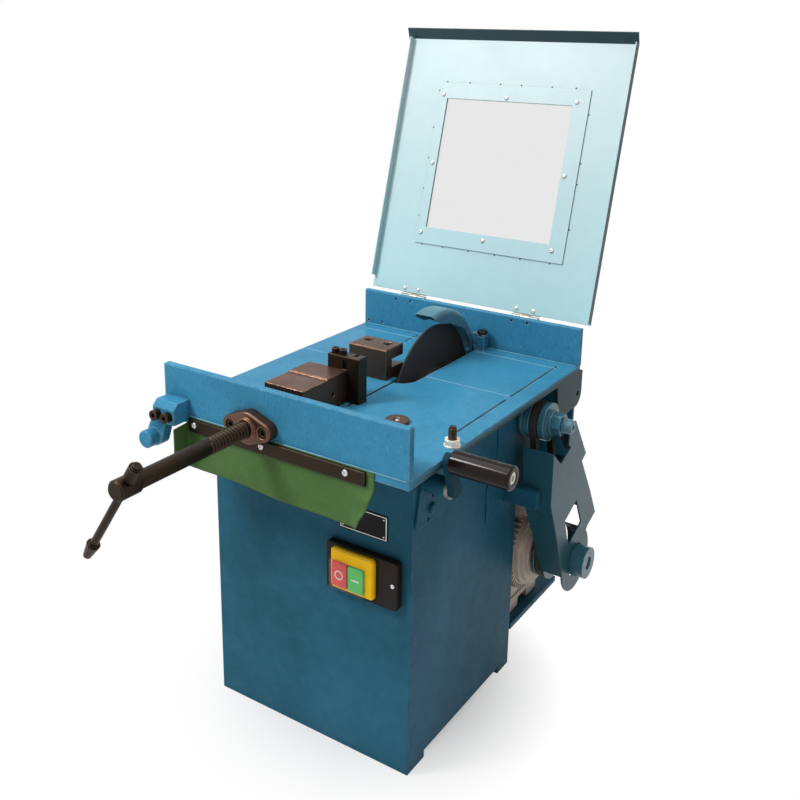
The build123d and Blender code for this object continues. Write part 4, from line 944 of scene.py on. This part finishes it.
class BARCUT_OT_small_screws(bpy.types.Operator):
    """Turn the domed screws of the strip, the switch and the window frame"""

    bl_idname = "barcut.small_screws"
    bl_label = "Small screws"

    strip_screw = (0.0041, 0.0026)
    switch_screw = (0.00287, 0.00182)
    switch_height = 0.35
    pan_seat = 0.0012
    window_screw = (0.0034, 0.0022)
    window_seat = 0.0008

    def execute(self, context):
        mesh = bmesh.new()
        for middle in self.islands("pan_screws"):
            size = self.switch_screw if middle.z < self.switch_height else self.strip_screw
            domed_screw(mesh, middle - TO_FRONT * self.pan_seat, TO_FRONT, *size)
        piece("pan_screws_domed", mesh, "base", "Bright steel", ("pan_screws",))
        mesh = bmesh.new()
        for middle in self.islands("window_screws"):
            domed_screw(mesh, middle - COVER_FRONT * self.window_seat, COVER_FRONT, *self.window_screw)
        piece("window_screws_domed", mesh, "safety_cover", "Bright steel", ("window_screws",))
        return {"FINISHED"}

    @staticmethod
    def islands(name):
        """The middle of each loose solid in a node."""
        mesh = bmesh.new()
        mesh.from_mesh(NODES[name].data)
        bmesh.ops.remove_doubles(mesh, verts=mesh.verts, dist=1e-6)
        left = set(mesh.verts)
        middles = []
        while left:
            found = [left.pop()]
            for vert in found:
                for edge in vert.link_edges:
                    other = edge.other_vert(vert)
                    if other in left:
                        left.discard(other)
                        found.append(other)
            low = Vector([min(vert.co[i] for vert in found) for i in range(3)])
            high = Vector([max(vert.co[i] for vert in found) for i in range(3)])
            middles.append((low + high) / 2)
        mesh.free()
        return sorted(middles, key=lambda point: (round(point.z, 4), point.x))


class BARCUT_OT_button_marks(bpy.types.Operator):
    """Raise the plain marks of the two push buttons"""

    bl_idname = "barcut.button_marks"
    bl_label = "Button marks"

    ring = (0.0046, 0.0060)
    bar = Vector((0.0055, 0, 0.0009))
    sunk = 0.0003

    def execute(self, context):
        tall = context.scene.barcut_sizes.mark_height
        low, _, middle = span("stop_button")
        inner, outer = self.ring
        foot = -self.sunk
        profile = ((inner, foot), (inner, tall), (outer, tall), (outer, foot), (inner, foot))
        mesh = bmesh.new()
        turned(mesh, profile, (middle.x, low.y, middle.z), TO_FRONT, steps=36)
        piece("off_mark", mesh, "off_button", "Mark white")
        low, _, middle = span("start_button")
        face = Vector((middle.x, low.y, middle.z))
        front = face - self.bar + TO_FRONT * tall
        mesh = bmesh.new()
        block(mesh, front, face + self.bar - TO_FRONT * self.sunk, bevel=0.0002, segments=1)
        piece("on_mark", mesh, "on_button", "Mark white")
        return {"FINISHED"}


class BARCUT_OT_button_film(bpy.types.Operator):
    """Cover the two push buttons with a clear film, open behind"""

    bl_idname = "barcut.button_film"
    bl_label = "Button film"

    low_margin = Vector((0.0030, 0.0022, 0.0032))
    right_margin = 0.0018
    top_margin = 0.0035
    sunk = 0.0003
    rounding = 0.0016

    def execute(self, context):
        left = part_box("stop_button")[0]
        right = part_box("start_button")[1]
        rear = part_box("switch_bezel")[0].y + self.sunk
        far = (right.x + self.right_margin, rear, right.z + self.top_margin)
        mesh = bmesh.new()
        block(mesh, left - self.low_margin, far, self.rounding, segments=3)
        mesh.normal_update()
        back = [face for face in mesh.faces if face.normal.dot(TO_REAR) > 0.9]
        bmesh.ops.delete(mesh, geom=back, context="FACES")
        wall = context.scene.barcut_sizes.film_thickness
        bmesh.ops.solidify(mesh, geom=mesh.faces[:], thickness=wall)
        piece("button_film", mesh, "base", "Clear film")
        return {"FINISHED"}


class BARCUT_OT_nameplate(bpy.types.Operator):
    """Give the bare plate its raised border and rivets"""

    bl_idname = "barcut.nameplate"
    bl_label = "Nameplate"

    rim = 0.0012
    inset = 0.0015
    relief = 0.00025
    rivet_inset = 0.004
    rivet = ((0.0, 0.0008), (0.0009, 0.0006), (0.0013, 0.0), (0.0, 0.0))

    def execute(self, context):
        low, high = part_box("nameplate")
        rim = self.rim
        left, right = low.x + self.inset, high.x - self.inset
        foot, top = low.z + self.inset, high.z - self.inset
        front, back = low.y - self.relief, low.y + SEATED
        mesh = bmesh.new()
        for z in (foot, top - rim):
            block(mesh, (left, front, z), (right, back, z + rim))
        for x in (left, right - rim):
            block(mesh, (x, front, foot + rim), (x + rim, back, top - rim))
        for x in (left + self.rivet_inset, right - self.rivet_inset):
            for z in (foot + self.rivet_inset, top - self.rivet_inset):
                turned(mesh, self.rivet, (x, low.y, z), TO_FRONT, steps=14)
        piece("nameplate_border", mesh, "base", "Bright steel")
        return {"FINISHED"}


class BARCUT_OT_spindle_end(bpy.types.Operator):
    """Turn the spindle with the thread on its drive end"""

    bl_idname = "barcut.spindle_end"
    bl_label = "Spindle end"

    plain_end = 0.207
    shaft = 0.0100
    root = 0.0090
    chamfer = 0.0080
    dimple = 0.0022

    def execute(self, context):
        sizes = context.scene.barcut_sizes
        pitch = sizes.spindle_pitch
        low, high, middle = span("spindle_shaft")
        origin = Vector((low.x, middle.y, middle.z))
        reach = high.x - low.x
        plain = self.plain_end - low.x
        profile = (
            (0.0, 0.0), (0.0085, 0.0), (self.shaft, 0.0015), (self.shaft, plain), (self.root, plain + 0.001),
            (self.root, reach - 0.0012), (self.chamfer, reach), (0.0042, reach),
            (0.0026, reach - self.dimple), (0.0, reach - self.dimple),
        )
        mesh = bmesh.new()
        turned(mesh, profile, origin, TO_RIGHT, steps=40)
        first = origin + TO_RIGHT * (plain + 0.0012)
        turns = (reach - plain) / pitch - 1.6
        thread(mesh, first, TO_RIGHT, self.root, self.shaft, pitch, turns, sizes.thread_steps)
        # Painted shade: the plain part inside the housing and the slot gets the dark Black oxide, so the
        # slot behind the pulley reads dark; the threaded end is blue.
        for face in mesh.faces:
            face.material_index = 1 if face.calc_center_median().x < self.plain_end else 0
        piece(
            "spindle_threaded", mesh, "spindle", "Pulley enamel", ("spindle_shaft",),
            second="Black oxide",
        )
        return {"FINISHED"}


class BARCUT_OT_hex_bolts(bpy.types.Operator):
    """Shape the painted bolt of the ear and the dark bolt of the hood"""

    bl_idname = "barcut.hex_bolts"
    bl_label = "Hex bolts"

    ear_place = (0.153, -0.0985, 0.347)
    ear_bolt = (0.011, 0.0040)
    hood_place = (0.0355, 0.234)
    hood_bolt = (0.013, 0.0055)

    def execute(self, context):
        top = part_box("hex_bolts")[1].z
        mesh = bmesh.new()
        self.head(mesh, Matrix.Translation(self.ear_place) @ ONTO_RIGHT, *self.ear_bolt)
        painted = set(mesh.faces)
        self.head(mesh, Matrix.Translation((*self.hood_place, top - self.hood_bolt[1])), *self.hood_bolt)
        for face in mesh.faces:
            face.material_index = 0 if face in painted else 1
        piece(
            "hex_bolts_chamfered", mesh, "base", "Cabinet enamel", ("hex_bolts",),
            second="Black oxide",
        )
        return {"FINISHED"}

    @staticmethod
    def head(mesh, where, flats, height):
        """A hexagon head with a rounded top edge."""
        middle = where @ Matrix.Translation(UP * height / 2)
        faces = prism(mesh, middle, sides=6, radius=flats / math.sqrt(3), height=height)
        outward = where.to_3x3() @ UP
        top = [face for face in faces if face.normal.dot(outward) > 0.9]
        rounded(mesh, [edge for face in top for edge in face.edges], height * 0.16)


class BARCUT_OT_table_fittings(bpy.types.Operator):
    """Lay the seams on the table and set the pin in the table's disc"""

    bl_idname = "barcut.table_fittings"
    bl_label = "Table fittings"

    seams = (
        (0.031, 0.156, 0.088), (-0.175, -0.137, 0.088), (0.032, 0.160, 0.222), (-0.167, -0.074, 0.222),
    )
    front_inset = 0.002
    rear_inset = 0.004
    plate_gap = 0.0003
    pin_depth = 0.002
    pin = ((0.0, 0.0016), (0.0018, 0.0014), (0.0028, 0.0006), (0.0030, -SEATED), (0.0, -SEATED))

    def execute(self, context):
        half = context.scene.barcut_sizes.bead_width / 2
        mesh = bmesh.new()
        for left, right, y in self.seams:
            self.bead(mesh, left, right, y, TABLE_TOP - SEATED, half)
        low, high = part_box("front_plate")
        left, right = low.x + self.front_inset, high.x - self.front_inset
        self.bead(mesh, left, right, low.y - self.plate_gap, TABLE_TOP - SEATED, half)
        low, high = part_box("rear_plate")
        left, right = low.x + self.rear_inset, high.x - self.rear_inset
        self.bead(mesh, left, right, low.y + self.plate_gap, TABLE_TOP + SEATED / 2, half)
        # The beads take the lighter seam paint: seam filler, and in part a painted highlight along the seams
        # and the plates' feet.
        piece("table_seams", mesh, "base", "Seam paint", (), 60.0)
        _, high, middle = span("table_plug")
        mesh = bmesh.new()
        turned(mesh, self.pin, (middle.x, middle.y, high.z - self.pin_depth), UP, steps=24)
        piece("plug_pin", mesh, "base", "Bright steel")
        return {"FINISHED"}

    @staticmethod
    def bead(mesh, left, right, y, z, half):
        """A thin round bead from left to right, its ends rounded."""
        where = Matrix.Translation(((left + right) / 2, y, z)) @ ONTO_RIGHT
        faces = prism(mesh, where, sides=12, radius=half, height=right - left)
        caps = [face for face in faces if len(face.verts) > 4]
        rounded(mesh, [edge for face in caps for edge in face.edges], half * 0.6)


class BARCUT_OT_cover_dots(bpy.types.Operator):
    """Set the tack dots round the window frame and the screw tips at the hinges"""

    bl_idname = "barcut.cover_dots"
    bl_label = "Cover dots"

    foot = Vector((0.0, 0.2632, 0.4824))
    frame_across = (-0.115, 0.133)
    frame_climb = (0.079, 0.330)
    beside = 0.0016
    dot = ((0.0, 0.0006), (0.0008, 0.0005), (0.0014, -SEATED), (0.0, -SEATED))
    tip = (
        (0.0, 0.0021), (0.0011, 0.0021), (0.0014, 0.0017), (0.0014, 0.0010), (0.0030, 0.0010),
        (0.0030, -SEATED), (0.0, -SEATED),
    )
    tips_across = (-0.120, -0.096, 0.074, 0.101)
    tips_climb = 0.006

    def execute(self, context):
        mesh = bmesh.new()
        for across, climb in self.places():
            turned(mesh, self.dot, self.on_cover(across, climb), COVER_FRONT, steps=10)
        piece("tack_dots", mesh, "safety_cover", "Black oxide")
        mesh = bmesh.new()
        for across in self.tips_across:
            turned(mesh, self.tip, self.on_cover(across, self.tips_climb), COVER_FRONT, steps=14)
        piece("hinge_screw_tips", mesh, "safety_cover", "Bright steel")
        return {"FINISHED"}

    def on_cover(self, across, climb):
        """A point on the face of the open cover."""
        return self.foot + TO_RIGHT * across + COVER_CLIMB * climb

    def places(self):
        """Dots along the four edges of the frame, just outside it."""
        left, right = self.frame_across
        low, high = self.frame_climb
        for share in (0.04, 0.20, 0.41, 0.55, 0.75, 0.90):
            yield left + (right - left) * share, high + self.beside
        for share in (0.05, 0.20, 0.38, 0.56, 0.73, 0.92):
            yield left + (right - left) * share, low - self.beside
        for share in (0.17, 0.34, 0.53, 0.72, 0.95):
            yield left - self.beside, low + (high - low) * share
        for share in (0.20, 0.46, 0.58, 0.86):
            yield right + self.beside, low + (high - low) * share


class BARCUT_OT_stage(bpy.types.Operator):
    """Set the floor, the lamps, the room and the camera"""

    bl_idname = "barcut.stage"
    bl_label = "Stage"

    camera_place = (0.6761, -0.9856, 0.8845)
    camera_ahead = Vector((-0.5228, 0.8116, -0.2607))
    camera_right = Vector((0.8381, 0.5453, 0.0169))
    camera_sensor = 36.0
    camera_shift = -0.1375
    floor_radius = 30.0
    floor_fade = (0.06, 0.27)

    def execute(self, context):
        scene = context.scene
        settings = scene.barcut_stage
        scene.view_settings.view_transform = "Standard"
        self.make_camera(scene, settings)
        self.make_floor(scene, settings)
        self.make_room(scene, settings)
        self.make_lamp(scene, "Key", settings.key, size=0.8, where=(-1.4, -1.75, 2.6), target=(0, 0, 0.5))
        self.make_lamp(scene, "Fill", settings.fill, size=1.8, where=(2.2, -1.0, 1.3), target=(0, 0, 0.4))
        self.make_lamp(scene, "Top", settings.top, size=2.2, where=(-0.2, -0.3, 2.7), target=(0, 0.1, 0.4))
        return {"FINISHED"}

    def make_camera(self, scene, settings):
        """The photograph's camera, found from the machine's edges."""
        data = bpy.data.cameras.new("Camera")
        data.lens = settings.lens
        data.sensor_width = self.camera_sensor
        data.shift_y = self.camera_shift
        made = bpy.data.objects.new("Camera", data)
        ahead = self.camera_ahead.normalized()
        right = (self.camera_right - ahead * self.camera_right.dot(ahead)).normalized()
        turn = Matrix((right, right.cross(ahead), -ahead)).transposed().to_4x4()
        made.matrix_world = Matrix.Translation(self.camera_place) @ turn
        scene.collection.objects.link(made)
        scene.camera = made

    def make_floor(self, scene, settings):
        """A pale floor that turns to plain white away from the machine."""
        mesh = bmesh.new()
        bmesh.ops.create_circle(mesh, cap_ends=True, radius=self.floor_radius, segments=96)
        data = bpy.data.meshes.new("Floor")
        mesh.to_mesh(data)
        mesh.free()
        made = bpy.data.objects.new("Floor", data)
        scene.collection.objects.link(made)
        tree, shader = start("Floor")
        tone = noise(tree, 2.0, detail=3.0, rough=0.5)
        tinted = mix(tree, tone, dimmed(settings.floor, 0.98), dimmed(settings.floor, 1.02))
        plain = fill(tree, shader, Base_Color=tinted, Roughness=0.8)[0]
        away = vectors(tree, "LENGTH", place(tree))["Value"]
        seen = times(tree, spread(tree, away, *self.floor_fade), seen_directly(tree))
        white = node(tree, "ShaderNodeEmission", Color=(1, 1, 1, 1), Strength=1.0)[0]
        both = node(tree, "ShaderNodeMixShader", i0=seen, i1=plain, i2=white)[0]
        fill(tree, tree.nodes["Material Output"], Surface=both)
        data.materials.append(bpy.data.materials["Floor"])

    @staticmethod
    def make_room(scene, settings):
        """An even white room that is dimmer as a light than it looks."""
        world = bpy.data.worlds.new("Room")
        world.use_nodes = True
        tree = world.node_tree
        strength = spread(tree, seen_directly(tree), 0, 1, settings.sky, 1.0)
        fill(tree, tree.nodes["Background"], Color=(1, 1, 1, 1), Strength=strength)
        scene.world = world

    @staticmethod
    def make_lamp(scene, name, power, size, where, target):
        """A round area lamp that looks at a point."""
        data = bpy.data.lights.new(name, "AREA")
        data.shape = "DISK"
        data.size = size
        data.energy = power
        made = bpy.data.objects.new(name, data)
        aim = (Vector(target) - Vector(where)).to_track_quat("-Z", "Y")
        made.matrix_world = Matrix.Translation(where) @ aim.to_matrix().to_4x4()
        scene.collection.objects.link(made)


PIECE_OPERATORS = (
    BARCUT_OT_finishes,
    BARCUT_OT_splash_flap,
    BARCUT_OT_flap_hem,
    BARCUT_OT_slot_shutter,
    BARCUT_OT_spindle_collar,
    BARCUT_OT_vice_screw,
    BARCUT_OT_stud,
    BARCUT_OT_small_screws,
    BARCUT_OT_button_marks,
    BARCUT_OT_button_film,
    BARCUT_OT_nameplate,
    BARCUT_OT_spindle_end,
    BARCUT_OT_hex_bolts,
    BARCUT_OT_table_fittings,
    BARCUT_OT_cover_dots,
    BARCUT_OT_stage,
)


class BARCUT_PT_panel(bpy.types.Panel):
    """Lists the pieces of the bar cutting machine"""

    bl_idname = "BARCUT_PT_panel"
    bl_label = "Bar cutting machine"
    bl_space_type = "VIEW_3D"
    bl_region_type = "UI"
    bl_category = "Bar Cutter"

    def draw(self, context):
        for operator in PIECE_OPERATORS:
            self.layout.operator(operator.bl_idname)
        scene = context.scene
        for settings in (scene.barcut_finish, scene.barcut_sizes, scene.barcut_stage):
            box = self.layout.box()
            for name in settings.__annotations__:
                box.prop(settings, name)


CLASSES = (BARCUT_PG_finish, BARCUT_PG_sizes, BARCUT_PG_stage, *PIECE_OPERATORS, BARCUT_PT_panel)


def register():
    """Registers the classes and the settings."""
    for made in CLASSES:
        bpy.utils.register_class(made)
    bpy.types.Scene.barcut_finish = PointerProperty(type=BARCUT_PG_finish)
    bpy.types.Scene.barcut_sizes = PointerProperty(type=BARCUT_PG_sizes)
    bpy.types.Scene.barcut_stage = PointerProperty(type=BARCUT_PG_stage)


def unregister():
    """Removes the settings and the classes."""
    del bpy.types.Scene.barcut_finish
    del bpy.types.Scene.barcut_sizes
    del bpy.types.Scene.barcut_stage
    for made in reversed(CLASSES):
        bpy.utils.unregister_class(made)


def main():
    """Registers the add-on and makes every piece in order."""
    register()
    for operator in PIECE_OPERATORS:
        family, name = operator.bl_idname.split(".")
        getattr(getattr(bpy.ops, family), name)()


if __name__ == "__main__":
    main()
